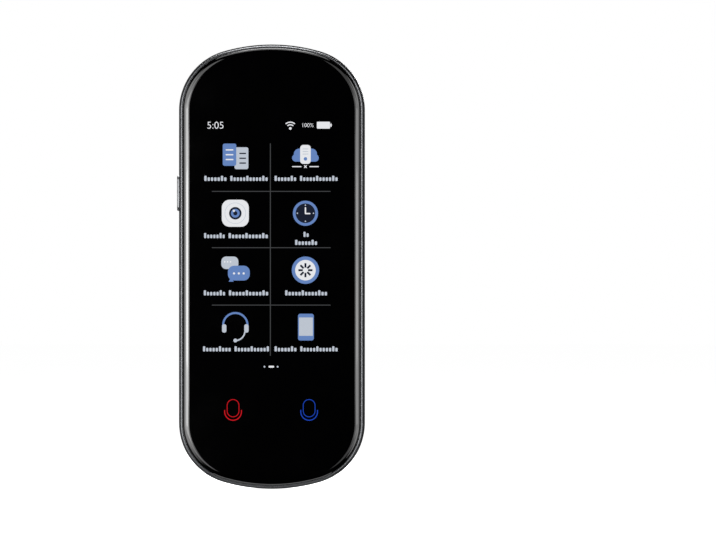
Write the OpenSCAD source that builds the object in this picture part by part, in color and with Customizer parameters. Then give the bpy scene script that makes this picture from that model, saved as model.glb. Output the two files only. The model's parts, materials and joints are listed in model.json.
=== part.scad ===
// Handheld translator: a slim pocket device with a full-face curved glass, a screen with two
// touch microphone keys below it, a rear camera and speaker, one side key and a USB-C port.
// Millimetres. The device stands upright: +X is to the right when facing the screen, +Y points
// out of the back and +Z towards the camera end. The origin is the centre of the flat raised
// area of the back. Heights inside the modules are measured from that face towards the screen.

/* [Outline] */
// Width of the body
body_w = 58; // [55:0.5:62]
// Length of the body
body_l = 138.6; // [136:0.2:146]
// Thickness from the raised back to the glass
body_t = 12.4; // [12.2:0.1:14]
// Distance of each shoulder arc's centre from the centre line
shoulder_x = 9.8; // [8.4:0.14:11.2]

/* [Rear shell] */
// Thickness of the shell's back
back_t = 1.4; // [1.2:0.05:1.6]
// Thickness of the shell's side wall
wall_t = 1.6; // [1.4:0.05:1.8]
// Height of the widest line of the side
belt_h = 6.2; // [5.9:0.05:6.4]
// How far the side draws in towards the screen
tuck_w = 0.3; // [0.1:0.05:0.4]
// Width of the rounded outer rim
rim_w = 4; // [3.4:0.1:4.4]
// Drop from the raised back to the crest of the rim
rim_drop = 1.5; // [1.3:0.05:1.6]
// Depth of the soft groove below that crest
groove_d = 0.25; // [0.1:0.05:0.3]
// Distance of the groove's lowest line from the outline
groove_inset = 6.2; // [5.6:0.1:7]
// Distance of the raised back from the outline
plateau_inset = 10.4; // [9.6:0.1:11.4]
// Height of the step between the side wall's pocket and the floor
knee_h = 1.05; // [0.9:0.05:1.2]
// Radius of the bosses that take the frame screws
boss_r = 1.9; // [1.7:0.05:2.1]

/* [Bezel ring and glass] */
// Distance of the ring's outer face from the outline
bezel_inset = 0.45; // [0.4:0.05:0.6]
// Width of the ring's visible lip
lip_w = 0.6; // [0.5:0.05:0.7]
// Height of that lip above the glass seat
lip_h = 0.4; // [0.3:0.05:0.5]
// Size of the bright chamfer on the lip
lip_chamfer = 0.3; // [0.2:0.05:0.35]
// Thickness of the ring below the glass seat
bezel_base_t = 1.05; // [0.9:0.05:1.2]
// Gap between the lip and the glass
glass_gap = 0.15; // [0.1:0.01:0.2]
// Thickness of the glass
glass_t = 1.3; // [1.2:0.05:1.4]
// Width of the glass's curved edge
curve_w = 2.3; // [1.8:0.1:2.6]
// Drop of the glass's curved edge
curve_drop = 0.95; // [0.6:0.05:1]
// Thickness of the tape under the glass
tape_t = 0.15; // [0.1:0.01:0.2]
// Width of the sound slot in the lip at the top
notch_w = 1.2; // [0.8:0.1:1.6]

/* [Screen] */
// Distance of the display panel from the body's sides
panel_side = 4.4; // [4.3:0.1:6]
// Distance of the display panel from the body's top end
panel_top = 20.1; // [19.8:0.1:22]
// Distance of the display panel from the body's lower end
panel_low = 28.5; // [28.2:0.1:31]
// Thickness of the display panel
panel_t = 1.2; // [1:0.05:1.25]
// Thickness of the touch sensor
touch_t = 0.3; // [0.2:0.02:0.36]
// Thickness of the backlight
backlight_t = 0.8; // [0.6:0.05:0.85]
// Distance of the touch keys' centre line from the body's lower end
key_rise = 24.7; // [23.5:0.1:24.8]
// Distance between the two touch keys
key_pitch = 23.7; // [20:0.1:26]
// Width of a touch key's light guide
key_guide_w = 6; // [5:0.1:7]

/* [Frame and boards] */
// Distance of the mid frame from the outline
frame_inset = 1.9; // [1.8:0.05:2]
// Thickness of the mid frame's plate
plate_t = 0.8; // [0.7:0.05:0.85]
// Clearance round the display panel
panel_gap = 0.3; // [0.2:0.05:0.4]
// Height of the main board's posts
post_h = 1.8; // [1.7:0.05:1.9]
// Radius of the board posts
post_r = 1.8; // [1.6:0.05:2]
// Thickness of both circuit boards
board_t = 0.8; // [0.6:0.05:0.9]
// Distance of the boards from the outline
board_inset = 3.5; // [3.4:0.05:3.8]
// Length of the main board along the body
board_l = 51.3; // [50:0.1:53]
// Length of the charging board along the body
sub_l = 13.8; // [13:0.1:14.5]
// Height of a board connector
plug_h = 1; // [0.8:0.05:1.1]
// Thickness of every flexible ribbon
ribbon_t = 0.15; // [0.1:0.01:0.2]
// Height of the shield cans
shield_h = 1.5; // [1.35:0.05:1.6]
// Sheet thickness of the shield cans
shield_t = 0.2; // [0.15:0.01:0.25]

/* [Battery] */
// Width of the battery cell
battery_w = 44; // [38:0.5:47]
// Distance between the battery cell and the charging board
cell_gap = 2; // [1.8:0.1:8]
// Thickness of the battery cell
battery_t = 4.2; // [3.6:0.05:4.3]

/* [Camera] */
// Distance of the camera's axis from the body's top end
camera_drop = 13.1; // [12.5:0.1:13.8]
// Outer radius of the camera ring
camera_ring_r = 4.26; // [4:0.02:4.5]
// How far the ring stands out of the back
camera_proud = 0.8; // [0.5:0.05:1]
// Radius of the camera's window
window_r = 3; // [2.8:0.05:3.1]
// Thickness of the camera's window
window_t = 0.6; // [0.5:0.05:0.7]
// Radius of the lens barrel
barrel_r = 2.4; // [2.2:0.05:2.5]
// Side of the square camera module
camera_side = 8.5; // [8:0.1:8.8]
// Height of the camera module
camera_h = 3.9; // [3.6:0.05:4]

/* [Speaker] */
// Distance from the body's top end of the point round which the hole rows bend
grille_drop = 7.9; // [7.3:0.1:8.5]
// Distance of the upper row of holes from that point
grille_near = 17; // [16.6:0.1:17.4]
// Distance between the two rows of holes
grille_step = 3.6; // [3.2:0.1:4]
// Spacing of the holes along a row
grille_pitch = 2.52; // [2.3:0.02:2.6]
// Radius of a speaker hole
grille_r = 0.86; // [0.6:0.02:0.95]
// Width of the speaker box
speaker_w = 20; // [19:0.1:22]
// Length of the speaker box along the body
speaker_l = 11; // [10.4:0.1:11.6]

/* [Side key] */
// Distance of the key's centre from the body's top end
key_from_top = 46.4; // [45.4:0.1:47.4]
// Length of the key
key_l = 11; // [9:0.1:12]
// Width of the key across the side
key_w = 2.6; // [2.2:0.05:2.8]
// How far the key stands out of the side
key_proud = 0.6; // [0.4:0.05:0.8]
// Travel of the key
key_travel = 0.3; // [0.2:0.05:0.4]
// Clearance round the key in its slot
key_gap = 0.1; // [0.08:0.01:0.15]

/* [USB port] */
// Outer width of the port's metal sleeve
usb_w = 8.94; // [8.9:0.01:9]
// Outer height of the sleeve
usb_h = 3.2; // [3.1:0.01:3.26]
// Depth of the sleeve
usb_l = 7.35; // [7:0.05:8]
// Sheet thickness of the sleeve
usb_t = 0.3; // [0.2:0.01:0.32]
// How far the sleeve's mouth lies inside the body's end
usb_recess = 0.5; // [0.3:0.05:0.8]

/* [Hidden] */
$fn = 96;
EPS = 0.01;
CUT = 1;

// The outline: straight sides, shoulder arcs and one wide arc at each end, all tangent. The
// wide arc meets each shoulder on the line through both centres, a 7-24-25 triangle's long side.
half_w = body_w / 2;
half_l = body_l / 2;
shoulder_r = half_w - shoulder_x;
spoke = [shoulder_x, shoulder_x * 24 / 7];
crown_r = shoulder_r + shoulder_x * 25 / 7;
crown_y = half_l - crown_r;
shoulder_y = crown_y + spoke[1];
core_step = 2;
core_inset = plateau_inset + core_step;
CURVE_STEPS = 8;

// Heights from the raised back, from the screen side inwards.
h_glass = body_t - glass_t;
h_seat = h_glass - tape_t;
h_panel = h_glass - touch_t - panel_t;
h_pocket = h_panel - backlight_t;
h_plate = h_pocket - plate_t;
h_edge = h_seat - bezel_base_t;
h_board_top = h_plate - post_h;
h_board = h_board_top - board_t;
h_rim = rim_drop;
h_groove = rim_drop + groove_d;
h_floor = h_groove + back_t;
h_knee = h_floor + knee_h;
rim_wall = 0.8;
step_wall = 0.6;
knee_inset = rim_w - rim_wall;
pocket_inset = plateau_inset - step_wall;
part_gap = 0.3;

// The mid frame, the screen and the glass.
panel_w = body_w - 2 * panel_side;
panel_l = body_l - panel_top - panel_low;
panel_y = (panel_low - panel_top) / 2;
key_line_y = key_rise - half_l;
lip_inset = bezel_inset + lip_w;
glass_inset = lip_inset + glass_gap;
pocket_w = panel_w + 2 * panel_gap;
pocket_l = panel_l + 2 * panel_gap;
panel_top_y = panel_y + panel_l / 2;
slot_y = panel_top_y + panel_gap;
slot_l = 1.6;
slot_w = 12;
slot_x = -12;
slot_pos = [slot_x, slot_y + (slot_l - CUT) / 2];
key_window_w = key_pitch + key_guide_w + 3;
notch_inset = lip_inset - 0.1;
notch_l = 0.9;
tape_edge = 0.2;
tape_hole_w = 2;
light_board_t = 0.3;
led_size = [1.6, 0.8];
led_h = 0.5;
guide_gap = 0.1;
key_window_l = 7.4;

// Screws, shared by bosses, posts, frame and boards.
screw_r = 0.75;
screw_fit = 0.02;
head_r = 1.4;
head_h = 0.6;
head_gap = 0.2;
screw_pass = 0.15;
screw_bite = 1.2;
tip_gap = 0.1;
boss_side = 7.5;
low_boss_side = 10;
boss_end = 15.3;
boss_x = half_w - boss_side;
boss_top_y = half_l - boss_end;
low_boss_x = half_w - low_boss_side;
BOSSES = [[boss_x, boss_top_y], [-boss_x, boss_top_y],
          [low_boss_x, -boss_top_y], [-low_boss_x, -boss_top_y]];
camera_y = half_l - camera_drop;
board_y = half_l - board_inset - board_l;
board_screw_x = half_w - 6.5;
board_screw_y = board_y + 3;
top_screw_x = 14;
BOARD_SCREWS = [[board_screw_x, board_screw_y], [-board_screw_x, board_screw_y],
                [top_screw_x, camera_y], [-top_screw_x, camera_y]];

// The charging board and the port.
h_port_top = h_plate - 0.2;
h_sub_top = h_port_top - usb_h;
h_sub = h_sub_top - board_t;
h_port = h_port_top - usb_h / 2;
port_y = -(half_l - usb_recess);
sub_inset = board_inset + 0.5;
sub_edge_y = -(half_l - sub_inset - sub_l);
sub_screw_x = 13.5;
sub_screw_y = sub_edge_y - 6;
SUB_SCREWS = [[sub_screw_x, sub_screw_y], [-sub_screw_x, sub_screw_y]];
port_gap = 0.15;
tongue_w = 6.69;
tongue_t = 0.7;
tongue_l = 5.2;
tongue_foot = 2;
sound_r = 0.5;
boot_h = 1.6;
boot_fit = 0.1;
low_mic_x = 8.6;

// Microphones.
mic_w = 3.5;
mic_l = 2.65;
mic_h = 1;
mic_port_t = 0.4;
mic_edge = 0.6;
top_mic_y = half_l - board_inset - mic_l / 2 - mic_edge;
low_mic_y = -(half_l - sub_inset - mic_l / 2 - 2 * mic_edge);
h_low_mic = h_sub_top + mic_h / 2;
h_channel = h_seat - 1;

// Battery, its circuit and the ribbons.
cell_tape_t = 0.15;
pack_gap = 0.5;
pack_board_l = 3.5;
pack_board_w = 30;
pack_top_y = board_y - pack_gap;
cell_top_y = pack_top_y - pack_board_l;
battery_l = cell_top_y - sub_edge_y - cell_gap;
cell_tape_edge = 4;
h_cell = h_plate - cell_tape_t - battery_t;
plug_w = 8;
plug_l = 2.4;
front_plug_y = board_y + 4.5;
front_plug_x = 8;
link_x = -10;
link_w = 6;
display_ribbon_w = 9;
battery_ribbon_w = 5;
camera_ribbon_w = 4;
upper_plug_y = camera_y - 9.2;
display_plug_x = slot_x;
camera_plug_x = 2;
h_front_plug = h_board_top + plug_h;
h_back_plug = h_board - plug_h;
h_sub_plug = h_sub_top + plug_h;

// Shields and chips.
chip_y = board_y + 17.5;
cpu_pos = [-11, chip_y];
cpu_size = [22, 17];
radio_pos = [12.5, chip_y];
radio_size = [16, 14];
chip_h = 1;
cpu_chip = [11, 11];
cpu_chip_pos = cpu_pos - [4, 0];
power_size = [6, 6];
power_pos = cpu_pos + [6.5, 0];
radio_chip_size = [7, 7];
pad_edge = 2;

// Camera, inside the ring.
ring_seat_h = 0.9;
ring_fit = 0.04;
ring_chamfer = 0.2;
ring_seat_w = 0.8;
ring_lip_w = 0.35;
ring_lip_t = 0.25;
ring_step = 0.1;
camera_well_r = camera_ring_r - ring_seat_w;
camera_hole = camera_side + 2 * part_gap;
window_fit = 0.02;
window_sink = 0.1;
h_window = -camera_proud + window_sink + window_t;
lip_r = window_r - ring_lip_w;
barrel_gap = 0.3;
h_module = back_t + 0.3;
h_module_end = h_module + camera_h;
camera_base_t = 0.4;
pad_shift = 1.6;
pad_clear = 3.8;
sensor_h = 0.7;
sensor_size = [5.6, 4.6];
housing_wall = 0.9;
sensor_room = camera_side - 2 * housing_wall;
lens_r = 1;
barrel_wall = 0.3;
lens_depth = 0.8;
focus_travel = 0.25;
h_sensor_pocket = h_module_end - sensor_h - 0.2;
h_barrel = h_window + focus_travel + barrel_gap;

// Speaker.
grille_y = half_l - grille_drop;
speaker_y = grille_y - grille_near - grille_step / 2 - 0.3;
mesh_t = 0.1;
mesh_edge = 0.6;
gasket_w = 0.8;
gasket_t = 0.4;
h_speaker = back_t + mesh_t + gasket_t;
speaker_wall = 0.8;
cone_t = 0.25;
cone_travel = 0.2;
cone_gap = 0.3;
h_cone = h_speaker + cone_travel + cone_gap;
coil_r = 2.9;
coil_t = 0.3;
coil_h = 1;

// Side key and its switch.
key_y = half_l - key_from_top;
wall_x = -(half_w - wall_t);
flange_over = 1;
flange_l = key_l + 2 * flange_over;
flange_w = key_w + 0.7 * flange_over;
flange_t = 0.5;
flange_x = wall_x + key_gap;
pusher_l = 0.6;
pusher_y = 2;
pusher_w = 1.6;
pusher_gap = 0.05;
pusher_x = flange_x + flange_t + pusher_l;
plunger_x = pusher_x + pusher_gap;
plunger_l = 1.45;
plunger_y = 1.6;
plunger_w = 1.2;
switch_gap = 0.35;
switch_x = plunger_x + key_travel + switch_gap;
switch_l = 2.5;
switch_y = 4.5;
switch_w = 2.4;
slide_gap = 0.1;

// Antenna on the shell's floor.
antenna_w = 5;
antenna_l = 30;
antenna_t = 0.15;
antenna_x = half_w - knee_inset - part_gap - antenna_w;
antenna_rise = 4;
spring_rise = 6;
antenna_y = board_y + antenna_rise;
spring_size = [1.2, 3];
spring_y = antenna_y + spring_rise;

// ---------------------------------------------------------------- shared shapes

// Stands the lying model up: length along Z, back towards +Y.
module upright() {
    rotate([90, 0, 0]) children();
}

// The corner between two directions, as a flat shape that reaches past the arcs.
module wedge(a, b) {
    polygon([[0, 0], 2 * a, 2 * (a + b), 2 * b]);
}

// The body's outline, drawn in by an inset.
module outline(inset) {
    square([2 * (half_w - inset), 2 * shoulder_y], center = true);
    for (end = [0, 1]) {
        mirror([0, end]) {
            translate([0, crown_y]) intersection() {
                circle(crown_r - inset);
                wedge(spoke, [-spoke[0], spoke[1]]);
            }
            for (side = [0, 1]) {
                mirror([side, 0]) translate([shoulder_x, shoulder_y]) intersection() {
                    circle(shoulder_r - inset);
                    wedge([spoke[1], 0], spoke);
                }
            }
        }
    }
}

// A plate of that outline between two heights.
module plate(inset, low, high) {
    translate([0, 0, low]) linear_extrude(high - low) outline(inset);
}

// Turns a section of [inset, height] points about the end of a radius, within a corner.
module turned(r, section, a, b) {
    intersection() {
        rotate_extrude() polygon([for (p = section) [r - p[0], p[1]]]);
        translate([0, 0, -1]) linear_extrude(body_t + 2) wedge(a, b);
    }
}

// Sweeps a section of [inset, height] points all round the outline.
module rim(section) {
    for (side = [0, 1]) {
        mirror([side, 0, 0]) rotate([90, 0, 0]) linear_extrude(2 * shoulder_y, center = true)
            polygon([for (p = section) [half_w - p[0], p[1]]]);
    }
    for (end = [0, 1]) {
        mirror([0, end, 0]) {
            translate([0, crown_y, 0]) turned(crown_r, section, spoke, [-spoke[0], spoke[1]]);
            for (side = [0, 1]) {
                mirror([side, 0, 0]) translate([shoulder_x, shoulder_y, 0])
                    turned(shoulder_r, section, [spoke[1], 0], spoke);
            }
        }
    }
}

// A box centred in x and y between two heights.
module block(pos, size, low, high) {
    translate([pos[0] - size[0] / 2, pos[1] - size[1] / 2, low])
        cube([size[0], size[1], high - low]);
}

// A post between two heights.
module post(pos, r, low, high) {
    translate([pos[0], pos[1], low]) cylinder(r = r, h = high - low);
}

// A slot with round ends, width along x.
module slot(w, h) {
    square([w - h, h], center = true);
    for (side = [-1, 1]) translate([side * (w - h) / 2, 0]) circle(h / 2);
}

// A flat sheet-metal or moulded frame: a box with a rectangular hole.
module frame(pos, size, wall, low, high) {
    difference() {
        block(pos, size, low, high);
        block(pos, [size[0] - 2 * wall, size[1] - 2 * wall], low - 1, high + 1);
    }
}

// Unit normal to the left of the step from a to b.
function left_of(a, b) = [a[1] - b[1], b[0] - a[0]] / norm(b - a);

// Mitred offset of the corner q between its neighbours p and r.
function corner(p, q, r, d) =
    let (n = left_of(p, q), m = left_of(q, r))
    q + d * (n + m) / (1 + n * m);

// One side of a ribbon that follows a path, at distance d.
function edge(path, d) = [for (i = [0:len(path) - 1])
    i == 0 ? path[0] + d * left_of(path[0], path[1]) :
    i == len(path) - 1 ? path[i] + d * left_of(path[i - 1], path[i]) :
    corner(path[i - 1], path[i], path[i + 1], d)];

// A flexible ribbon along a path of [y, height] points, centred on x.
module ribbon(x, w, path) {
    other = edge(path, -ribbon_t / 2);
    translate([x - w / 2, 0, 0]) rotate([90, 0, 90]) linear_extrude(w)
        polygon(concat(edge(path, ribbon_t / 2), [for (i = [len(other) - 1:-1:0]) other[i]]));
}

// Positions of the speaker holes: two rows on arcs about one point.
function grille_row(r, count) = [for (i = [0:count - 1])
    let (a = (i - (count - 1) / 2) * grille_pitch / r * 180 / PI)
    [r * sin(a), grille_y - r * cos(a)]];
GRILLE = concat(grille_row(grille_near, 5), grille_row(grille_near + grille_step, 7));

// ---------------------------------------------------------------- casing

// Soft step between two heights, for t from 0 to 1.
function ease(t) = (1 - cos(180 * t)) / 2;

// The shell's outer section: side, round rim, groove and the step to the raised back.
SHELL_SECTION = concat(
    [[core_inset, h_edge]],
    [for (i = [CURVE_STEPS / 2:-1:1]) let (t = 2 * i / CURVE_STEPS)
        [tuck_w * (1 - cos(90 * t)), belt_h + (h_edge - belt_h) * t]],
    [for (i = [0:CURVE_STEPS]) let (a = 90 * i / CURVE_STEPS)
        [rim_w * (1 - cos(a)), belt_h - (belt_h - h_rim) * sin(a)]],
    [for (i = [1:3]) [rim_w + (groove_inset - rim_w) * i / 3, h_rim + groove_d * ease(i / 3)]],
    [for (i = [1:CURVE_STEPS]) let (t = i / CURVE_STEPS)
        [groove_inset + (plateau_inset - groove_inset) * t, h_groove * (1 - ease(t))]],
    [[core_inset, 0]]);

module rear_shell() {
    color("#4b4d50") upright() difference() {
        union() {
            rim(SHELL_SECTION);
            plate(core_inset, 0, h_edge);
        }
        difference() {
            union() {
                plate(wall_t, h_knee, h_edge + CUT);
                plate(knee_inset, h_floor, h_knee + EPS);
                plate(pocket_inset, back_t, h_floor + EPS);
            }
            for (p = BOSSES) post(p, boss_r, back_t - CUT, h_plate);
        }
        for (p = BOSSES) post(p, screw_r + screw_fit, h_floor, h_plate + CUT);
        post([0, camera_y], camera_ring_r + ring_fit, -2, ring_seat_h);
        post([0, camera_y], camera_well_r, -2, h_floor + CUT);
        block([0, camera_y], [camera_hole, camera_hole], back_t, h_knee);
        for (p = GRILLE) post(p, grille_r, -1, back_t + CUT);
        translate([wall_x + 1, key_y, belt_h]) rotate([90, 0, -90]) linear_extrude(wall_t + 2)
            slot(key_l + 2 * key_gap, key_w + 2 * key_gap);
        translate([0, -half_l + wall_t + 2, h_port]) rotate([90, 0, 0])
            linear_extrude(wall_t + 3) slot(usb_w + 2 * port_gap, usb_h + 2 * port_gap);
        translate([low_mic_x, -half_l + wall_t + 2, h_low_mic]) rotate([90, 0, 0])
            cylinder(r = sound_r, h = wall_t + 3);
    }
}

module bezel_ring() {
    color("#d4d7da") upright() difference() {
        rim([[bezel_inset, h_edge], [frame_inset, h_edge], [frame_inset, h_seat],
             [lip_inset, h_seat], [lip_inset, h_seat + lip_h],
             [bezel_inset + lip_chamfer, h_seat + lip_h],
             [bezel_inset, h_seat + lip_h - lip_chamfer]]);
        block([0, half_l - (notch_inset + frame_inset + CUT) / 2],
            [notch_w, frame_inset + CUT - notch_inset], h_channel, h_glass + CUT);
    }
}

// The glass's curved edge, an elliptic quarter on a straight foot.
GLASS_SECTION = concat(
    [[core_inset, h_glass], [glass_inset, h_glass]],
    [for (i = [0:CURVE_STEPS]) let (a = 90 * i / CURVE_STEPS)
        [glass_inset + curve_w * (1 - cos(a)), body_t - curve_drop * (1 - sin(a))]],
    [[core_inset, body_t]]);

module cover_glass() {
    color("#08090b") upright() difference() {
        union() {
            rim(GLASS_SECTION);
            plate(core_inset, h_glass, body_t);
        }
        block([0, half_l - notch_inset - notch_l / 2], [notch_w, notch_l], h_glass - CUT,
            body_t + CUT);
    }
}

module glass_tape() {
    color("#202122") upright() difference() {
        plate(frame_inset + tape_edge, h_seat, h_glass);
        block([0, panel_y], [pocket_w, pocket_l], h_seat - CUT, h_glass + CUT);
        block(slot_pos, [slot_w, slot_l + CUT], h_seat - CUT, h_glass + CUT);
        block([0, key_line_y], [key_window_w, key_window_l], h_seat - CUT, h_glass + CUT);
        block([0, top_mic_y], [tape_hole_w, tape_hole_w], h_seat - CUT, h_glass + CUT);
    }
}

// ---------------------------------------------------------------- screen

module touch_sensor() {
    color("#1d2328") upright()
        block([0, panel_y], [panel_w, panel_l], h_glass - touch_t, h_glass);
}

module display_panel() {
    color("#0f1216") upright()
        block([0, panel_y], [panel_w, panel_l], h_panel, h_panel + panel_t);
}

module backlight() {
    color("#e8ebee") upright() block([0, panel_y], [panel_w, panel_l], h_pocket, h_panel);
}

module display_ribbon() {
    bend_y = slot_y + slot_l / 2;
    top = h_panel + panel_t / 2;
    low = h_front_plug + ribbon_t / 2;
    color("#b8742c") upright() ribbon(slot_x, display_ribbon_w, [[panel_top_y, top], [bend_y, top],
        [bend_y, low], [upper_plug_y - plug_l / 2, low]]);
}

module key_light_board() {
    color("#2d6a43") upright() block([0, key_line_y],
        [key_window_w - 2 * panel_gap, key_window_l - 2 * panel_gap], h_pocket,
        h_pocket + light_board_t);
}

module key_leds() {
    color("#f2e9b8") upright() for (side = [-1, 1]) block([side * key_pitch / 2, key_line_y],
        led_size, h_pocket + light_board_t, h_pocket + light_board_t + led_h);
}

module key_light_guides() {
    color("#dfe4e8") upright() for (side = [-1, 1]) block([side * key_pitch / 2, key_line_y],
        [key_guide_w, key_guide_w], h_pocket + light_board_t + led_h + guide_gap, h_glass);
}

// ---------------------------------------------------------------- frame and screws

module mid_frame() {
    color("#8d9196") upright() difference() {
        union() {
            plate(frame_inset, h_plate, h_seat);
            for (p = BOARD_SCREWS) post(p, post_r, h_board_top, h_plate + EPS);
            for (p = SUB_SCREWS) post(p, post_r, h_sub_top, h_plate + EPS);
        }
        block([0, panel_y], [pocket_w, pocket_l], h_pocket, h_seat + CUT);
        block(slot_pos, [slot_w, slot_l + CUT], h_plate - CUT, h_seat + CUT);
        block([0, key_line_y], [key_window_w, key_window_l], h_pocket, h_seat + CUT);
        for (p = BOSSES) post(p, screw_r + screw_pass, h_plate - CUT, h_seat + CUT);
        for (p = BOSSES) post(p, head_r + head_gap, h_pocket, h_seat + CUT);
        for (p = BOARD_SCREWS) post(p, screw_r + screw_fit, h_board_top - CUT, h_plate);
        for (p = SUB_SCREWS) post(p, screw_r + screw_fit, h_sub_top - CUT, h_plate);
        block([0, (top_mic_y + half_l) / 2], [notch_w, half_l - top_mic_y], h_channel,
            h_seat + CUT);
        post([0, top_mic_y], sound_r, h_plate - CUT, h_seat + CUT);
    }
}

// A pan-head screw with its head's seat at one height and its tip at another.
module screw(pos, seat, tip) {
    up = tip > seat ? 1 : -1;
    post(pos, screw_r, min(seat, tip), max(seat, tip));
    post(pos, head_r, min(seat, seat - up * head_h), max(seat, seat - up * head_h));
}

module frame_screws() {
    color("#b9bcc0") upright() for (p = BOSSES) screw(p, h_pocket, h_floor + screw_bite);
}

module board_screws() {
    color("#c3c6ca") upright() {
        for (p = BOARD_SCREWS) screw(p, h_board, h_plate - tip_gap);
        for (p = SUB_SCREWS) screw(p, h_sub, h_plate - tip_gap);
    }
}

// ---------------------------------------------------------------- boards

module main_board() {
    color("#1f5a3c") upright() difference() {
        intersection() {
            plate(board_inset, h_board, h_board_top);
            translate([-half_w, board_y, h_board - CUT]) cube([body_w, half_l, board_t + 2]);
        }
        block([0, camera_y], [camera_hole, camera_hole], h_board - CUT,
            h_board_top + CUT);
        block([switch_x, key_y], 2 * [switch_l + slide_gap, switch_y / 2 + slide_gap], h_board - CUT,
            h_board_top + CUT);
        for (p = BOSSES) post(p, boss_r + part_gap, h_board - CUT, h_board_top + CUT);
        for (p = BOARD_SCREWS) post(p, screw_r + screw_pass, h_board - CUT, h_board_top + CUT);
    }
}

module charging_board() {
    color("#1f5a3c") upright() difference() {
        intersection() {
            plate(sub_inset, h_sub, h_sub_top);
            translate([-half_w, -half_l, h_sub - CUT]) cube([body_w, half_l + sub_edge_y, board_t + 2]);
        }
        for (p = BOSSES) post(p, boss_r + part_gap, h_sub - CUT, h_sub_top + CUT);
        for (p = SUB_SCREWS) post(p, screw_r + screw_pass, h_sub - CUT, h_sub_top + CUT);
    }
}

// A sheet-metal can, open towards the board.
module shield_can(pos, size) {
    difference() {
        block(pos, size, h_board_top, h_board_top + shield_h);
        block(pos, [size[0] - 2 * shield_t, size[1] - 2 * shield_t], h_board_top - CUT,
            h_board_top + shield_h - shield_t);
    }
}

module processor_shield() {
    color("#c9cccf") upright() shield_can(cpu_pos, cpu_size);
}

module radio_shield() {
    color("#c9cccf") upright() shield_can(radio_pos, radio_size);
}

module processor() {
    color("#25272a") upright() block(cpu_chip_pos, cpu_chip, h_board_top,
        h_board_top + chip_h);
}

module power_chip() {
    color("#25272a") upright() block(power_pos, power_size, h_board_top,
        h_board_top + chip_h);
}

module radio_chip() {
    color("#25272a") upright() block(radio_pos, radio_chip_size, h_board_top,
        h_board_top + chip_h);
}

module thermal_pad() {
    color("#8fa7bd") upright() block(cpu_pos, cpu_size - 2 * [pad_edge, pad_edge],
        h_board_top + shield_h, h_plate);
}

// The board connectors: battery, display and camera in front, link at both ends behind the cell.
module board_plugs() {
    size = [plug_w, plug_l];
    color("#e9e3d4") upright() {
        block([front_plug_x, front_plug_y], size, h_board_top, h_front_plug);
        block([display_plug_x, upper_plug_y], size, h_board_top, h_front_plug);
        block([camera_plug_x, upper_plug_y], size - [2, 0], h_board_top, h_front_plug);
        block([link_x, board_y + 2], size, h_back_plug, h_board);
        block([link_x, sub_edge_y - 2.5], size, h_sub_top, h_sub_plug);
    }
}

// The ribbon below the cell that joins the two boards.
module link_ribbon() {
    back = h_back_plug - ribbon_t / 2;
    floor_line = h_floor + ribbon_t / 2;
    sub = h_sub_plug + ribbon_t / 2;
    color("#b8742c") upright() ribbon(link_x, link_w, [[board_y + 2, back],
        [board_y - 1.5, back], [board_y - 3, floor_line], [sub_edge_y + 0.9, floor_line],
        [sub_edge_y + 0.9, sub], [sub_edge_y - 2.5, sub]]);
}

// ---------------------------------------------------------------- battery

module battery_cell() {
    color("#9aa0a6") upright() block([0, cell_top_y - battery_l / 2], [battery_w, battery_l],
        h_cell, h_cell + battery_t);
}

module battery_tape() {
    size = [battery_w / 4, battery_l - 2 * cell_tape_edge];
    color("#f0efe9") upright() for (side = [-1, 1]) block([side * battery_w / 4,
        cell_top_y - battery_l / 2], size, h_plate - cell_tape_t, h_plate);
}

module battery_circuit() {
    color("#27543b") upright() block([0, pack_top_y - pack_board_l / 2],
        [pack_board_w, pack_board_l], h_front_plug + ribbon_t, h_plate);
}

module battery_ribbon() {
    h = h_front_plug + ribbon_t / 2;
    color("#b8742c") upright() ribbon(front_plug_x, battery_ribbon_w, [[cell_top_y + 0.5, h],
        [front_plug_y + plug_l / 2, h]]);
}

// ---------------------------------------------------------------- port and microphones

module usb_sleeve() {
    color("#aab0b6") upright() translate([0, port_y + usb_l, h_port]) rotate([90, 0, 0])
        difference() {
            linear_extrude(usb_l) slot(usb_w, usb_h);
            translate([0, 0, usb_t]) linear_extrude(usb_l)
                slot(usb_w - 2 * usb_t, usb_h - 2 * usb_t);
        }
}

module usb_tongue() {
    end_y = port_y + usb_l - usb_t;
    color("#1b1c1e") upright() {
        block([0, end_y - tongue_foot / 2], [usb_w - usb_h, tongue_foot],
            h_port - usb_h / 2 + usb_t, h_port + usb_h / 2 - usb_t);
        block([0, end_y - tongue_foot / 2 - tongue_l / 2], [tongue_w, tongue_l],
            h_port - tongue_t / 2, h_port + tongue_t / 2);
    }
}

module lower_microphone() {
    color("#c9a95a") upright() block([low_mic_x, low_mic_y], [mic_w, mic_l], h_sub_top,
        h_sub_top + mic_h);
}

// Rubber channel from the sound hole to the microphone, shaped to the end wall.
module microphone_boot() {
    front_y = low_mic_y - mic_l / 2;
    color("#2b2c2e") upright() difference() {
        intersection() {
            plate(wall_t, h_sub_top, h_sub_top + boot_h);
            translate([low_mic_x - mic_w / 2, -half_l, h_sub_top])
                cube([mic_w, half_l + front_y, boot_h]);
        }
        translate([low_mic_x, front_y + 1, h_low_mic]) rotate([90, 0, 0])
            cylinder(r = sound_r - boot_fit, h = half_l);
        translate([low_mic_x - mic_w, -half_l + knee_inset - 5, 0]) cube([2 * mic_w, 5, h_knee]);
    }
}

module upper_microphone() {
    color("#c9a95a") upright() difference() {
        block([0, top_mic_y], [mic_w, mic_l], h_board_top, h_plate);
        post([0, top_mic_y], sound_r, h_plate - mic_port_t, h_plate + CUT);
    }
}

// ---------------------------------------------------------------- speaker

module speaker_mesh() {
    color("#3a3b3d") upright() block([0, speaker_y], [speaker_w, speaker_l - mesh_edge], back_t,
        back_t + mesh_t);
}

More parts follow.
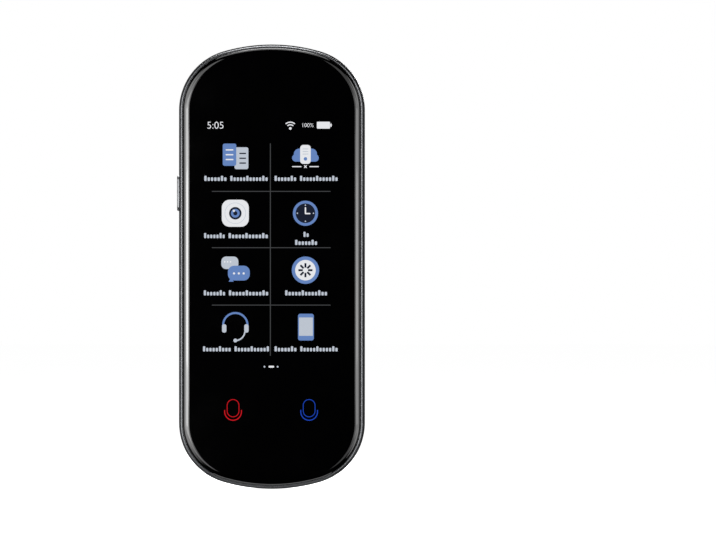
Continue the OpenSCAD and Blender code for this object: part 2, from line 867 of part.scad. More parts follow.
module speaker_gasket() {
    color("#1c1c1d") upright() frame([0, speaker_y], [speaker_w, speaker_l - mesh_edge], gasket_w,
        back_t + mesh_t, h_speaker);
}

module speaker_box() {
    color("#2a2b2d") upright() difference() {
        block([0, speaker_y], [speaker_w, speaker_l], h_speaker, h_board);
        block([0, speaker_y], [speaker_w - 2 * speaker_wall, speaker_l - 2 * speaker_wall],
            h_speaker - CUT, h_board - speaker_wall);
    }
}

module speaker_magnet() {
    color("#8a8d91") upright() post([0, speaker_y], coil_r - coil_t - cone_gap,
        h_cone + cone_t + cone_travel + cone_gap, h_board - speaker_wall);
}

// The moving cone with its voice coil.
module speaker_cone() {
    size = [speaker_w - 2 * (speaker_wall + cone_gap), speaker_l - 2 * (speaker_wall + cone_gap)];
    color("#4a4038") upright() {
        block([0, speaker_y], size, h_cone, h_cone + cone_t);
        difference() {
            post([0, speaker_y], coil_r, h_cone + cone_t - EPS, h_cone + cone_t + coil_h);
            post([0, speaker_y], coil_r - coil_t, h_cone + cone_t, h_cone + cone_t + coil_h + 1);
        }
    }
}

// ---------------------------------------------------------------- camera

module camera_ring() {
    color("#111214") upright() translate([0, camera_y, 0]) rotate_extrude() polygon([
        [lip_r, h_window], [window_r, h_window], [window_r, -camera_proud],
        [camera_ring_r - ring_chamfer, -camera_proud],
        [camera_ring_r, -camera_proud + ring_chamfer], [camera_ring_r, ring_seat_h],
        [window_r + ring_step, ring_seat_h], [window_r + ring_step, h_window + ring_lip_t],
        [lip_r, h_window + ring_lip_t]]);
}

module camera_window() {
    color("#1a2040") upright() post([0, camera_y], window_r - window_fit,
        h_window - window_t, h_window);
}

module camera_gasket() {
    color("#232425") upright() difference() {
        post([0, camera_y], camera_side / 2, back_t, h_module);
        post([0, camera_y], camera_well_r, back_t - CUT, h_module + CUT);
    }
}

module camera_housing() {
    color("#3b3d40") upright() difference() {
        block([0, camera_y], [camera_side, camera_side], h_module, h_module_end);
        post([0, camera_y], barrel_r + barrel_gap, h_module - CUT, h_module_end);
        block([0, camera_y], [sensor_room, sensor_room], h_sensor_pocket, h_module_end + CUT);
    }
}

module lens_barrel() {
    color("#17181b") upright() difference() {
        post([0, camera_y], barrel_r, h_barrel, h_sensor_pocket - barrel_gap);
        translate([0, camera_y, h_barrel - EPS]) cylinder(r1 = barrel_r - barrel_wall,
            r2 = lens_r, h = lens_depth);
    }
}

module image_sensor() {
    color("#46586a") upright() block([0, camera_y], sensor_size, h_module_end - sensor_h,
        h_module_end);
}

module camera_base() {
    color("#1f5a3c") upright() block([0, camera_y], [camera_side, camera_side], h_module_end,
        h_module_end + camera_base_t);
}

module camera_pad() {
    color("#2e2f31") upright() block([0, camera_y + pad_shift],
        [camera_side - 1, camera_side - pad_clear], h_module_end + camera_base_t, h_plate);
}

module camera_ribbon() {
    start = h_module_end + camera_base_t + ribbon_t / 2;
    low = h_front_plug + ribbon_t / 2;
    front = camera_y - camera_side / 2;
    color("#b8742c") upright() ribbon(camera_plug_x, camera_ribbon_w, [[front + 1.4, start],
        [front + 0.2, start], [front - 1.2, low], [upper_plug_y - plug_l / 2, low]]);
}

// ---------------------------------------------------------------- side key

// The key: a cap with round ends, its inner flange and the pusher that meets the switch.
module side_key() {
    cap_l = flange_x + half_w + key_proud;
    color("#c3c6c9") upright() {
        translate([flange_x, key_y, belt_h]) rotate([90, 0, -90]) linear_extrude(cap_l)
            slot(key_l, key_w);
        translate([flange_x, key_y - flange_l / 2, belt_h - flange_w / 2])
            cube([flange_t, flange_l, flange_w]);
        translate([flange_x + flange_t - EPS, key_y - pusher_y / 2, belt_h - pusher_w / 2])
            cube([pusher_l + EPS, pusher_y, pusher_w]);
    }
}

module switch_body() {
    color("#2c2d2f") upright() difference() {
        translate([switch_x, key_y - switch_y / 2, belt_h - switch_w / 2])
            cube([switch_l, switch_y, switch_w]);
        translate([switch_x - CUT, key_y - plunger_y / 2 - slide_gap,
                   belt_h - plunger_w / 2 - slide_gap])
            cube([CUT + plunger_l - slide_gap, plunger_y + 2 * slide_gap, plunger_w + 2 * slide_gap]);
    }
}

module switch_plunger() {
    color("#e6e2d8") upright() translate([plunger_x, key_y - plunger_y / 2,
        belt_h - plunger_w / 2]) cube([plunger_l, plunger_y, plunger_w]);
}

// ---------------------------------------------------------------- antenna

module antenna() {
    color("#b98a4a") upright() translate([antenna_x, antenna_y, h_floor])
        cube([antenna_w, antenna_l, antenna_t]);
}

module antenna_spring() {
    color("#d9b45a") upright() block([antenna_x + antenna_w / 2, spring_y], spring_size,
        h_floor + antenna_t, h_board);
}

rear_shell();
bezel_ring();
cover_glass();
glass_tape();
touch_sensor();
display_panel();
backlight();
display_ribbon();
mid_frame();
frame_screws();
main_board();
board_screws();
processor_shield();
radio_shield();
processor();
radio_chip();
power_chip();
thermal_pad();
board_plugs();
battery_cell();
battery_tape();
battery_circuit();
battery_ribbon();
charging_board();
link_ribbon();
usb_sleeve();
usb_tongue();
lower_microphone();
microphone_boot();
upper_microphone();
key_light_board();
key_leds();
key_light_guides();
speaker_mesh();
speaker_gasket();
speaker_box();
speaker_magnet();
speaker_cone();
camera_ring();
camera_window();
camera_gasket();
camera_housing();
lens_barrel();
image_sensor();
camera_base();
camera_pad();
camera_ribbon();
side_key();
switch_body();
switch_plunger();
antenna();
antenna_spring();
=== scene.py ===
"""The looks of a handheld translator: painted shell, bright ring, curved glass with a lit
screen, camera, side key and every part inside, on a pale floor under soft studio light.

Lengths in the classes are millimetres; x runs to the right when facing the screen, z towards
the camera end, and a height is measured from the raised back towards the screen.
"""

import json
import logging
import math
from collections.abc import Callable, Sequence
from dataclasses import dataclass, field
from enum import Enum
from typing import Any, Self

import bmesh
import bpy
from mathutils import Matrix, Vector

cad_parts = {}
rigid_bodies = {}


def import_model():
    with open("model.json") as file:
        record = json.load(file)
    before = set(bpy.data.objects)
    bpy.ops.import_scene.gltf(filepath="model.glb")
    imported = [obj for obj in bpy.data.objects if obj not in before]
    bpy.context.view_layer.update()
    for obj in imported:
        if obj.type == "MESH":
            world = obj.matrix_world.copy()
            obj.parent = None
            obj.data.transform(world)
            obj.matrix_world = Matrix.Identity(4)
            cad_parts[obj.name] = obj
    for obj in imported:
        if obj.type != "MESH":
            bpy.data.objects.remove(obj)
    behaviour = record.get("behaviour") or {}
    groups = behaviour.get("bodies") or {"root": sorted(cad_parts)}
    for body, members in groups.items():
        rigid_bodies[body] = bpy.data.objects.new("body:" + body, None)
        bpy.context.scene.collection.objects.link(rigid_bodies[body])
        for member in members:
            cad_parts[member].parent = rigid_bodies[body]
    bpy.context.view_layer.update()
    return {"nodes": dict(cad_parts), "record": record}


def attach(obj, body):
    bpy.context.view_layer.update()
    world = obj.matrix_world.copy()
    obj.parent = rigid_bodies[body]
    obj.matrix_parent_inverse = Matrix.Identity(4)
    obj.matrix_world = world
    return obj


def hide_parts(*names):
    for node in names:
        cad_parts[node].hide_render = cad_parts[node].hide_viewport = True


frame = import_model()

MM = 0.001  # a millimetre, in metres
WELD = 0.004  # points nearer to each other than this, in millimetres, become one
CLEAR = 1  # how far a cutter stands clear of what it cuts
THROUGH = 3  # how far a cutter reaches into the body
FINE = 96  # the sides of a round shape that is seen close up
SAME = 1e-7  # places nearer than this, in metres, are the same
log = logging.getLogger("translator")

Point = tuple[float, float, float]
Colour = tuple[float, float, float]
Step = tuple[float, float]


class Facing(Enum):
    """The side of the device that a face looks to, with its direction."""

    BACK = (0, 1, 0)
    FRONT = (0, -1, 0)
    KEY_SIDE = (-1, 0, 0)
    LOWER_END = (0, 0, -1)

    @property
    def turn(self) -> Point:
        """How a new flat face is turned to lie square to the direction."""
        return (abs(self.value[1]) * math.pi / 2, abs(self.value[0]) * math.pi / 2, 0)

    def stretch(self, width: float, length: float) -> Point:
        """Where a flat face's width and length lie among x, y and z, with 1 for the rest."""
        sizes = iter((width, length))
        return tuple(1 if part else next(sizes) for part in self.value)


class Grain(Enum):
    """What the surface of a plain finish looks like close up."""

    SMOOTH = "smooth"
    MOULDED = "moulded"
    BLASTED = "blasted"
    BRUSHED = "brushed"
    CREASED = "creased"
    TRACKS = "tracks"
    WOVEN = "woven"


# ---------------------------------------------------------------- modelling


def clear_selection() -> None:
    """Leaves nothing selected in object mode."""
    bpy.ops.object.select_all(action="DESELECT")
    bpy.context.view_layer.objects.active = None


def choose(piece: bpy.types.Object) -> None:
    """Selects one object and makes it the active one."""
    clear_selection()
    piece.select_set(True)
    bpy.context.view_layer.objects.active = piece


def in_metres(*place: float) -> tuple[float, ...]:
    """Turns millimetres into metres."""
    return tuple(value * MM for value in place)


@dataclass(frozen=True)
class BodyLine:
    """The body's outline: straight sides, four shoulder arcs and a wide arc at each end."""

    half_w: float = 29
    half_l: float = 69.3
    shoulder_x: float = 9.8  # where a shoulder arc's centre lies across
    slant: Point = (7, 24, 25)  # sides of the right-angled triangle that the arcs meet along
    shoulder_steps: int = 24
    crown_steps: int = 20

    @property
    def lean(self) -> float:
        """How far a shoulder arc turns: the slant is a triangle with a right angle."""
        return math.atan2(self.slant[1], self.slant[0])

    @property
    def shoulder_r(self) -> float:
        """Radius of a shoulder arc."""
        return self.half_w - self.shoulder_x

    @property
    def crown_z(self) -> float:
        """Distance of the wide arc's centre from the middle."""
        return self.half_l - self.shoulder_r - self.shoulder_x * self.slant[2] / self.slant[0]

    @property
    def shoulder_z(self) -> float:
        """Distance of a shoulder arc's centre from the middle."""
        return self.crown_z + self.shoulder_x * self.slant[1] / self.slant[0]


class Workpiece:
    """A new mesh at the world's origin, shaped in edit mode and then finished."""

    def __init__(self, name: str) -> None:
        """Starts an empty mesh.

        Args:
            name: the piece's name.
        """
        clear_selection()
        bpy.ops.mesh.primitive_plane_add(size=MM)
        self.piece = bpy.context.object
        self.piece.name = name
        self.piece.data.name = name
        choose(self.piece)
        bpy.ops.object.mode_set(mode="EDIT")
        bpy.ops.mesh.delete(type="VERT")

    def mesh(self) -> bmesh.types.BMesh:
        """The mesh as it stands in edit mode."""
        return bmesh.from_edit_mesh(self.piece.data)

    def start(self, x: float, height: float, z: float) -> None:
        """Puts down one point, selected."""
        bpy.ops.mesh.select_mode(type="VERT")
        bpy.ops.mesh.select_all(action="DESELECT")
        bpy.ops.mesh.primitive_plane_add(size=MM, location=in_metres(x, -height, z))
        bpy.ops.mesh.merge(type="CENTER")

    def go(self, x: float = 0, y: float = 0, z: float = 0) -> None:
        """Extrudes what is selected by a distance."""
        bpy.ops.mesh.extrude_region_move(TRANSFORM_OT_translate={"value": in_metres(x, y, z)})

    def arc(self, x: float, height: float, z: float, angle: float, steps: int) -> None:
        """Spins what is selected about an axis along the device's depth.

        Args:
            x, height, z: the centre.
            angle: radians, from +x towards +z.
            steps: how many parts the arc has.
        """
        bpy.ops.mesh.spin(
            steps=steps, angle=angle, center=in_metres(x, -height, z), axis=(0, 1, 0)
        )

    def body_face(self, line: BodyLine, inset: float, height: float, facing: Facing) -> None:
        """Draws the body's outline, drawn in by an inset, and fills it with one face."""
        side = line.shoulder_x
        up = line.shoulder_z
        crown = math.pi - 2 * line.lean
        self.start(line.half_w - inset, height, -up)
        self.go(z=2 * up)
        self.arc(side, height, up, line.lean, line.shoulder_steps)
        self.arc(0, height, line.crown_z, crown, line.crown_steps)
        self.arc(-side, height, up, line.lean, line.shoulder_steps)
        self.go(z=-2 * up)
        self.arc(-side, height, -up, line.lean, line.shoulder_steps)
        self.arc(0, height, -line.crown_z, crown, line.crown_steps)
        self.arc(side, height, -up, line.lean, line.shoulder_steps)
        bpy.ops.mesh.select_linked()
        bpy.ops.mesh.remove_doubles(threshold=WELD * MM)
        bpy.ops.mesh.edge_face_add()
        self.face_to(facing)

    def disc(self, x: float, z: float, radius: float, height: float, facing: Facing = Facing.FRONT,
             sides: int = 48) -> None:
        """Adds a round face, selected."""
        bpy.ops.mesh.select_all(action="DESELECT")
        bpy.ops.mesh.primitive_circle_add(
            vertices=sides, radius=radius * MM, fill_type="NGON",
            location=in_metres(x, -height, z), rotation=facing.turn,
        )
        self.face_to(facing)

    def plate(self, x: float, z: float, width: float, length: float, corner: float, height: float,
              facing: Facing = Facing.FRONT, turn: float = 0, segments: int = 5) -> None:
        """Adds a rectangular face with round corners, selected.

        Args:
            x, z, height: its middle.
            width, length: its size across and along; on the side width runs along the depth.
            corner: the corners' radius.
            facing: the side it looks to.
            turn: radians, from +x towards +z.
            segments: how many parts a corner has.
        """
        bpy.ops.mesh.select_all(action="DESELECT")
        middle = in_metres(x, -height, z)
        bpy.ops.mesh.primitive_plane_add(size=MM, location=middle, rotation=facing.turn)
        bpy.ops.transform.resize(value=facing.stretch(width, length), center_override=middle)
        if corner:
            bpy.ops.mesh.bevel(
                offset=corner * MM, offset_pct=0, segments=segments, affect="VERTICES"
            )
            bpy.ops.mesh.remove_doubles(threshold=WELD * MM)
        if turn:
            bpy.ops.transform.rotate(value=turn, orient_axis="Y", center_override=middle)
        self.face_to(facing)

    def face_to(self, facing: Facing) -> None:
        """Turns the selected face over if it looks the wrong way."""
        bpy.ops.mesh.select_mode(type="FACE")
        chosen = [face for face in self.mesh().faces if face.select]
        if chosen and chosen[0].normal.dot(Vector(facing.value)) < 0:
            bpy.ops.mesh.flip_normals()

    def step(self, inwards: float, outwards: float) -> None:
        """Insets the selected face and moves it along its normal.

        Args:
            inwards: how far the new outline is drawn in, negative to widen it.
            outwards: how far it moves out along the face's normal.
        """
        bpy.ops.mesh.inset(
            thickness=abs(inwards) * MM, depth=outwards * MM, use_outset=inwards < 0,
            use_even_offset=True, use_relative_offset=False,
        )

    def follow(self, section: Sequence[Step], outwards: float = 1) -> None:
        """Insets step by step along a section of (inset, height) points.

        Args:
            section: the points; the selected face lies at the first.
            outwards: 1 where height grows along the face's normal, -1 where it shrinks.
        """
        for before, after in zip(section, section[1:]):
            self.step(after[0] - before[0], (after[1] - before[1]) * outwards)

    def close(self) -> None:
        """Fills the hole that is left at the start of a section."""
        bpy.ops.mesh.select_mode(type="EDGE")
        bpy.ops.mesh.select_all(action="DESELECT")
        bpy.ops.mesh.select_non_manifold()
        bpy.ops.mesh.edge_face_add()

    def hollow(self) -> None:
        """Takes out the last face and joins the two open rims."""
        bpy.ops.mesh.delete(type="FACE")
        bpy.ops.mesh.select_mode(type="EDGE")
        bpy.ops.mesh.select_all(action="DESELECT")
        bpy.ops.mesh.select_non_manifold()
        bpy.ops.mesh.bridge_edge_loops()

    def turned(self, x: float, z: float, section: Sequence[Step], steps: int = FINE) -> None:
        """Spins a section of (radius, height) points about an axis along the depth.

        Args:
            x, z: where the axis lies.
            section: the points, closed or with both ends on the axis.
            steps: how many parts the turn has.
        """
        self.start(x + section[0][0], section[0][1], z)
        for before, after in zip(section, section[1:]):
            self.go(x=after[0] - before[0], y=before[1] - after[1])
        bpy.ops.mesh.select_all(action="SELECT")
        self.arc(x, 0, z, 2 * math.pi, steps)

    def done(self, smooth: float = 0, weld: bool = True) -> bpy.types.Object:
        """Leaves edit mode and shades the piece.

        Args:
            smooth: degrees up to which an edge is shaded round; 0 leaves it flat.
            weld: whether doubles are merged and every face is turned outwards first.

        Returns:
            the finished object.
        """
        if weld:
            bpy.ops.mesh.select_all(action="SELECT")
            bpy.ops.mesh.remove_doubles(threshold=WELD * MM)
            bpy.ops.mesh.normals_make_consistent(inside=False)
        bpy.ops.object.mode_set(mode="OBJECT")
        if smooth:
            shade_round(self.piece, smooth)
        return self.piece


def shade_round(piece: bpy.types.Object, degrees: float) -> None:
    """Shades the edges of a piece round, up to an angle."""
    choose(piece)
    bpy.ops.object.shade_smooth_by_angle(angle=math.radians(degrees))


def apply(piece: bpy.types.Object, kind: str, **settings: Any) -> None:
    """Adds a modifier with its settings and applies it."""
    choose(piece)
    modifier = piece.modifiers.new(kind.title(), kind)
    for name, value in settings.items():
        setattr(modifier, name, value)
    bpy.ops.object.modifier_apply(modifier=modifier.name)


def cut(piece: bpy.types.Object, cutter: bpy.types.Object) -> None:
    """Cuts one closed mesh out of another and removes the cutter."""
    apply(piece, "BOOLEAN", operation="DIFFERENCE", solver="EXACT", object=cutter)
    bpy.data.objects.remove(cutter)


def copies(piece: bpy.types.Object, moves: Sequence[Point]) -> bpy.types.Object:
    """Copies a piece, each copy with its own mesh, and joins them all with it.

    Args:
        piece: the piece, which stays where it is.
        moves: where each copy goes, from the piece.

    Returns:
        the joined object, at the origin.
    """
    made = []
    for move in moves:
        choose(piece)
        bpy.ops.object.duplicate(linked=False)
        bpy.context.object.location = in_metres(*move)
        bpy.ops.object.transform_apply(location=True, rotation=False, scale=False)
        made.append(bpy.context.object)
    choose(piece)
    for other in made:
        other.select_set(True)
    bpy.ops.object.join()
    return piece


def ellipse(inset: float, height: float, across: float, rise: float, steps: int,
            last: float = 1) -> list[Step]:
    """A quarter of an ellipse from a steep start to a flat end.

    Args:
        inset, height: where the quarter starts.
        across, rise: how far it goes in and up.
        steps: how many parts it has.
        last: the angle it ends at, as a share of the quarter.

    Returns:
        its (inset, height) points.
    """
    turns = [last * i / steps * math.pi / 2 for i in range(steps + 1)]
    return [(inset + across * (1 - math.cos(a)), height + rise * math.sin(a)) for a in turns]


# ---------------------------------------------------------------- finishes


def sign(operation: str, flipped: bool = False) -> Callable[["Signal", Any], "Signal"]:
    """Makes the method behind an arithmetic sign; flipped where the other value comes first."""
    return lambda signal, other: signal.by(operation, other, flipped=flipped)


class Signal:
    """A number on a socket, which takes the arithmetic signs as Math nodes."""

    def __init__(self, paint: "Paint", socket: bpy.types.NodeSocket) -> None:
        """Wraps an output socket of a paint's nodes."""
        self.paint = paint
        self.socket = socket

    def by(self, operation: str, *others: "Signal | float", flipped: bool = False) -> Self:
        """Adds a Math node.

        Args:
            operation: its operation.
            others: the other values.
            flipped: whether this value comes second.

        Returns:
            the node's result.
        """
        values = [self, *others][:: -1 if flipped else 1]
        node = self.paint.node(
            "ShaderNodeMath", {"operation": operation},
            dict(enumerate(v.socket if isinstance(v, Signal) else v for v in values)),
        )
        return Signal(self.paint, node.outputs[0])

    __add__ = __radd__ = sign("ADD")
    __sub__, __rsub__ = sign("SUBTRACT"), sign("SUBTRACT", flipped=True)
    __mul__ = __rmul__ = sign("MULTIPLY")
    __truediv__ = sign("DIVIDE")
    __pow__ = sign("POWER")

    def ramp(self, low: float, high: float) -> "Signal":
        """Goes from 0 at low to 1 at high, and stays within them."""
        node = self.paint.node(
            "ShaderNodeMapRange", {"clamp": True},
            {"Value": self.socket, "From Min": low, "From Max": high},
        )
        return Signal(self.paint, node.outputs[0])


class Paint:
    """A material under construction, with one Principled shader."""

    def __init__(self, name: str) -> None:
        """Starts the material and finds where on the piece a point lies."""
        self.material = bpy.data.materials.new(name)
        self.material.use_nodes = True
        self.tree = self.material.node_tree
        self.shader = self.tree.nodes["Principled BSDF"]
        self.place = self.node("ShaderNodeTexCoord").outputs["Object"]

    def node(self, kind: str, settings: dict[str, Any] | None = None,
             sockets: dict[Any, Any] | None = None) -> bpy.types.Node:
        """Adds a node.

        Args:
            kind: the node's type.
            settings: its properties, set first; "stops" gives a ramp's (place, colour) pairs.
            sockets: values or links of its inputs, by name or number.

        Returns:
            the node.
        """
        made = self.tree.nodes.new(kind)
        for name, value in (settings or {}).items():
            if name == "stops":
                self._stops(made.color_ramp, value)
            else:
                setattr(made, name, value)
        for name, value in (sockets or {}).items():
            self.feed(made.inputs[name], value)
        return made

    @staticmethod
    def _stops(ramp: bpy.types.ColorRamp, stops: Sequence[tuple[float, Colour]]) -> None:
        """Gives a colour ramp its stops."""
        while len(ramp.elements) < len(stops):
            ramp.elements.new(1)
        for element, (at, colour) in zip(ramp.elements, stops):
            element.position = at
            element.color = (*colour, 1)

    def feed(self, socket: bpy.types.NodeSocket, value: Any) -> None:
        """Links a socket to a signal or another socket, or sets its number or colour."""
        if isinstance(value, Signal):
            value = value.socket
        if isinstance(value, bpy.types.NodeSocket):
            self.tree.links.new(value, socket)
        elif isinstance(value, tuple) and len(value) == 3 and socket.type == "RGBA":
            socket.default_value = (*value, 1)
        else:
            socket.default_value = value

    def along(self, axis: str) -> Signal:
        """The place along one axis, in metres."""
        split = self.node("ShaderNodeSeparateXYZ", sockets={0: self.place})
        return Signal(self, split.outputs[axis])

    def stretched(self, x: float, y: float, z: float) -> bpy.types.NodeSocket:
        """The place, scaled along each axis."""
        mapping = self.node("ShaderNodeMapping", {}, {"Vector": self.place, "Scale": (x, y, z)})
        return mapping.outputs[0]

    def noise(self, size: float, detail: float = 2, at: Any = None) -> Signal:
        """Soft noise whose spots are about size millimetres wide, around 0.5."""
        node = self.node(
            "ShaderNodeTexNoise", {},
            {"Vector": at or self.place, "Scale": 1 / (size * MM), "Detail": detail},
        )
        return Signal(self, node.outputs[0])

    def cells(self, size: float, output: str = "Distance", feature: str = "F1",
              at: Any = None) -> Signal:
        """Voronoi cells of about size millimetres."""
        node = self.node(
            "ShaderNodeTexVoronoi", {"feature": feature},
            {"Vector": at or self.place, "Scale": 1 / (size * MM)},
        )
        return Signal(self, node.outputs[output])

    def mix(self, share: Signal, first: Any, second: Any) -> bpy.types.NodeSocket:
        """Mixes two colours by a signal."""
        sockets = {"Factor": share, 6: first, 7: second}
        return self.node("ShaderNodeMix", {"data_type": "RGBA"}, sockets).outputs[2]

    def bump(self, height: Signal, depth: float, strength: float = 1) -> bpy.types.NodeSocket:
        """Turns a height signal into a normal; depth in millimetres."""
        node = self.node(
            "ShaderNodeBump", {},
            {"Height": height, "Distance": depth * MM, "Strength": strength},
        )
        return node.outputs[0]

    def shade(self, **values: Any) -> bpy.types.Material:
        """Sets the shader's sockets, named with underscores, and returns the material."""
        for name, value in values.items():
            self.feed(self.shader.inputs[name.replace("_", " ")], value)
        return self.material


def shades(colour: Colour, factor: float) -> Colour:
    """A colour made darker or lighter."""
    return tuple(min(1.0, part * factor) for part in colour)


@dataclass(frozen=True)
class FlakePaint:
    """Satin dark grey paint with a fine metal flake under a soft clear coat."""

    colour: Colour = (0.105, 0.107, 0.112)
    metallic: float = 0.9
    roughness: float = 0.3
    flake: float = 0.12
    sparkle: float = 0.28

    def make(self, name: str) -> bpy.types.Material:
        """Builds the material."""
        paint = Paint(name)
        flakes = paint.cells(self.flake, "Color")
        drift = paint.noise(9, 3)
        grain = paint.noise(self.flake / 2, 1)
        lit = shades(self.colour, 1 + self.sparkle)
        dull = shades(self.colour, 1 - self.sparkle)
        return paint.shade(
            Base_Color=paint.mix(flakes * 0.8 + drift * 0.2, dull, lit),
            Metallic=self.metallic,
            Roughness=self.roughness + 0.05 * drift + 0.04 * flakes,
            Coat_Weight=0.12, Coat_Roughness=0.3,
            Normal=paint.bump(grain, 0.004, 0.1),
        )


@dataclass(frozen=True)
class PolishedMetal:
    """Turned and polished metal with very fine lines."""

    colour: Colour = (0.15, 0.153, 0.16)
    roughness: float = 0.27
    lines: float = 0.05
    line_axis: Point = (1, 1, 0.05)

    def make(self, name: str) -> bpy.types.Material:
        """Builds the material."""
        paint = Paint(name)
        lines = paint.noise(self.lines, 2, paint.stretched(*self.line_axis))
        cloud = paint.noise(6, 2)
        return paint.shade(
            Base_Color=paint.mix(cloud, shades(self.colour, 0.9), shades(self.colour, 1.08)),
            Metallic=1.0,
            Roughness=self.roughness - 0.02 + 0.04 * lines,
            Normal=paint.bump(lines, 0.002, 0.02),
        )


@dataclass(frozen=True)
class BlackGlass:
    """Clear hard glass over black print, with the faintest handling marks."""

    colour: Colour = (0.0004, 0.0004, 0.0005)
    roughness: float = 0.05

    def make(self, name: str) -> bpy.types.Material:
        """Builds the material."""
        paint = Paint(name)
        marks = paint.noise(14, 4).ramp(0.45, 0.75)
        dust = paint.cells(2.6).ramp(0.02, 0.0)
        return paint.shade(
            Base_Color=paint.mix(dust, self.colour, (0.006, 0.006, 0.007)),
            Roughness=self.roughness + 0.03 * marks,
            IOR=1.6, Coat_Weight=0.5, Coat_Roughness=0.03,
        )


@dataclass(frozen=True)
class GlowingInk:
    """A lit area of the screen: small dots of light behind the glass."""

    colour: Colour
    strength: float = 1.0
    dot: float = 0.09

    def make(self, name: str) -> bpy.types.Material:
        """Builds the material."""
        paint = Paint(name)
        dots = paint.cells(self.dot).ramp(0.75, 0.2)
        shine = paint.mix(0.85 + 0.15 * dots, (0, 0, 0), self.colour)
        return paint.shade(
            Base_Color=(0.002, 0.002, 0.002), Roughness=0.05 + 0.01 * dots,
            Emission_Color=shine, Emission_Strength=self.strength,
        )


@dataclass(frozen=True)
class LensWithPaintedReflections:
    """A dark lens with painted reflections of its coating: blue and violet painted into its
    colour, most in two wedges across its axis, and a painted white highlight at its middle.
    """

    x: float
    z: float
    radius: float
    # how far the axis of the painted reflection wedges is turned
    tilt: float = math.radians(62)

    def make(self, name: str) -> bpy.types.Material:
        """Builds the material."""
        paint = Paint(name)
        across = (paint.along("X") - self.x * MM) / (self.radius * MM)
        along = (paint.along("Z") - self.z * MM) / (self.radius * MM)
        reach = (across * across + along * along) ** 0.5
        turned = (along * math.sin(self.tilt) - across * math.cos(self.tilt)).by("ABSOLUTE")
        # painted reflection of the coating: two blue-violet wedges across the tilted axis, put
        # into the colour
        painted_reflection_wedge = (turned / (reach + 0.02)).ramp(0.8, 0.93)
        painted_reflection_wedge = painted_reflection_wedge * reach.ramp(0.3, 0.5) * reach.ramp(1.0, 0.9)
        # the lens's dark tones outwards from its middle, with a painted white highlight at the
        # middle
        ring = paint.node(
            "ShaderNodeValToRGB",
            {"stops": [
                (0.0, (0.7, 0.7, 0.8)), (0.1, (0.25, 0.25, 0.4)), (0.17, (0.002, 0.003, 0.012)),
                (0.62, (0.005, 0.007, 0.038)), (0.84, (0.014, 0.011, 0.05)),
                (1.0, (0.002, 0.002, 0.006)),
            ]},
            {0: reach},
        ).outputs[0]
        return paint.shade(
            Base_Color=paint.mix(painted_reflection_wedge, ring, (0.05, 0.07, 0.29)), Metallic=0.3,
            Roughness=0.09 + 0.03 * paint.noise(1.5), Specular_IOR_Level=0.1,
        )


@dataclass(frozen=True)
class ClearGlass:
    """A clear window with a faint bloom on it."""

    tint: Colour = (0.93, 0.95, 1.0)

    def make(self, name: str) -> bpy.types.Material:
        """Builds the material."""
        paint = Paint(name)
        bloom = paint.noise(1.2, 3)
        return paint.shade(
            Base_Color=paint.mix(bloom, self.tint, shades(self.tint, 0.97)),
            Transmission_Weight=1.0, IOR=1.45, Roughness=0.004 + 0.01 * bloom,
        )


@dataclass(frozen=True)
class PlainFinish:
    """A finish of the parts inside, told apart by colour, gloss and grain."""

    colour: Colour
    roughness: float = 0.5
    metallic: float = 0.0
    grain: Grain = Grain.MOULDED
    size: float = 0.25
    depth: float = 0.02
    second: Colour | None = None
    shine: float = 0.5

    def make(self, name: str) -> bpy.types.Material:
        """Builds the material."""
        paint = Paint(name)
        pattern = self._pattern(paint)
        cloud = paint.noise(5, 3)
        tone = paint.mix(cloud, shades(self.colour, 0.88), shades(self.colour, 1.1))
        if self.second:
            tone = paint.mix(pattern, tone, self.second)
        return paint.shade(
            Base_Color=tone, Metallic=self.metallic,
            Roughness=self.roughness - 0.05 + 0.1 * cloud, Specular_IOR_Level=self.shine,
            Normal=paint.bump(pattern, self.depth, 0.6),
        )

    def _pattern(self, paint: Paint) -> Signal:
        """The grain's height, from 0 to 1."""
        if self.grain is Grain.BRUSHED:
            return paint.noise(self.size, 2, paint.stretched(1, 1, 0.04))
        if self.grain is Grain.BLASTED:
            return paint.cells(self.size)
        if self.grain is Grain.CREASED:
            folds = paint.cells(self.size, feature="SMOOTH_F1")
            return folds * 0.6 + paint.noise(self.size, 4) * 0.4
        if self.grain is Grain.WOVEN:
            return self._weave(paint)
        if self.grain is Grain.TRACKS:
            return self._tracks(paint)
        return paint.noise(self.size, 3 if self.grain is Grain.MOULDED else 0)

    def _weave(self, paint: Paint) -> Signal:
        """Threads that cross, from the places along x and z."""
        pitch = 2 * math.pi / (self.size * MM)
        over = (paint.along("X") * pitch).by("SINE")
        under = (paint.along("Z") * pitch).by("SINE")
        return (over * under * 0.5 + 0.5).ramp(0.1, 0.9)

    def _tracks(self, paint: Paint) -> Signal:
        """Copper tracks under a solder mask, as thin lines between square cells."""
        edges = paint.node(
            "ShaderNodeTexVoronoi", {"distance": "CHEBYCHEV", "feature": "F1"},
            {"Vector": paint.place, "Scale": 1 / (self.size * MM), "Randomness": 0.7},
        )
        return Signal(paint, edges.outputs["Distance"]).ramp(0.52, 0.6)


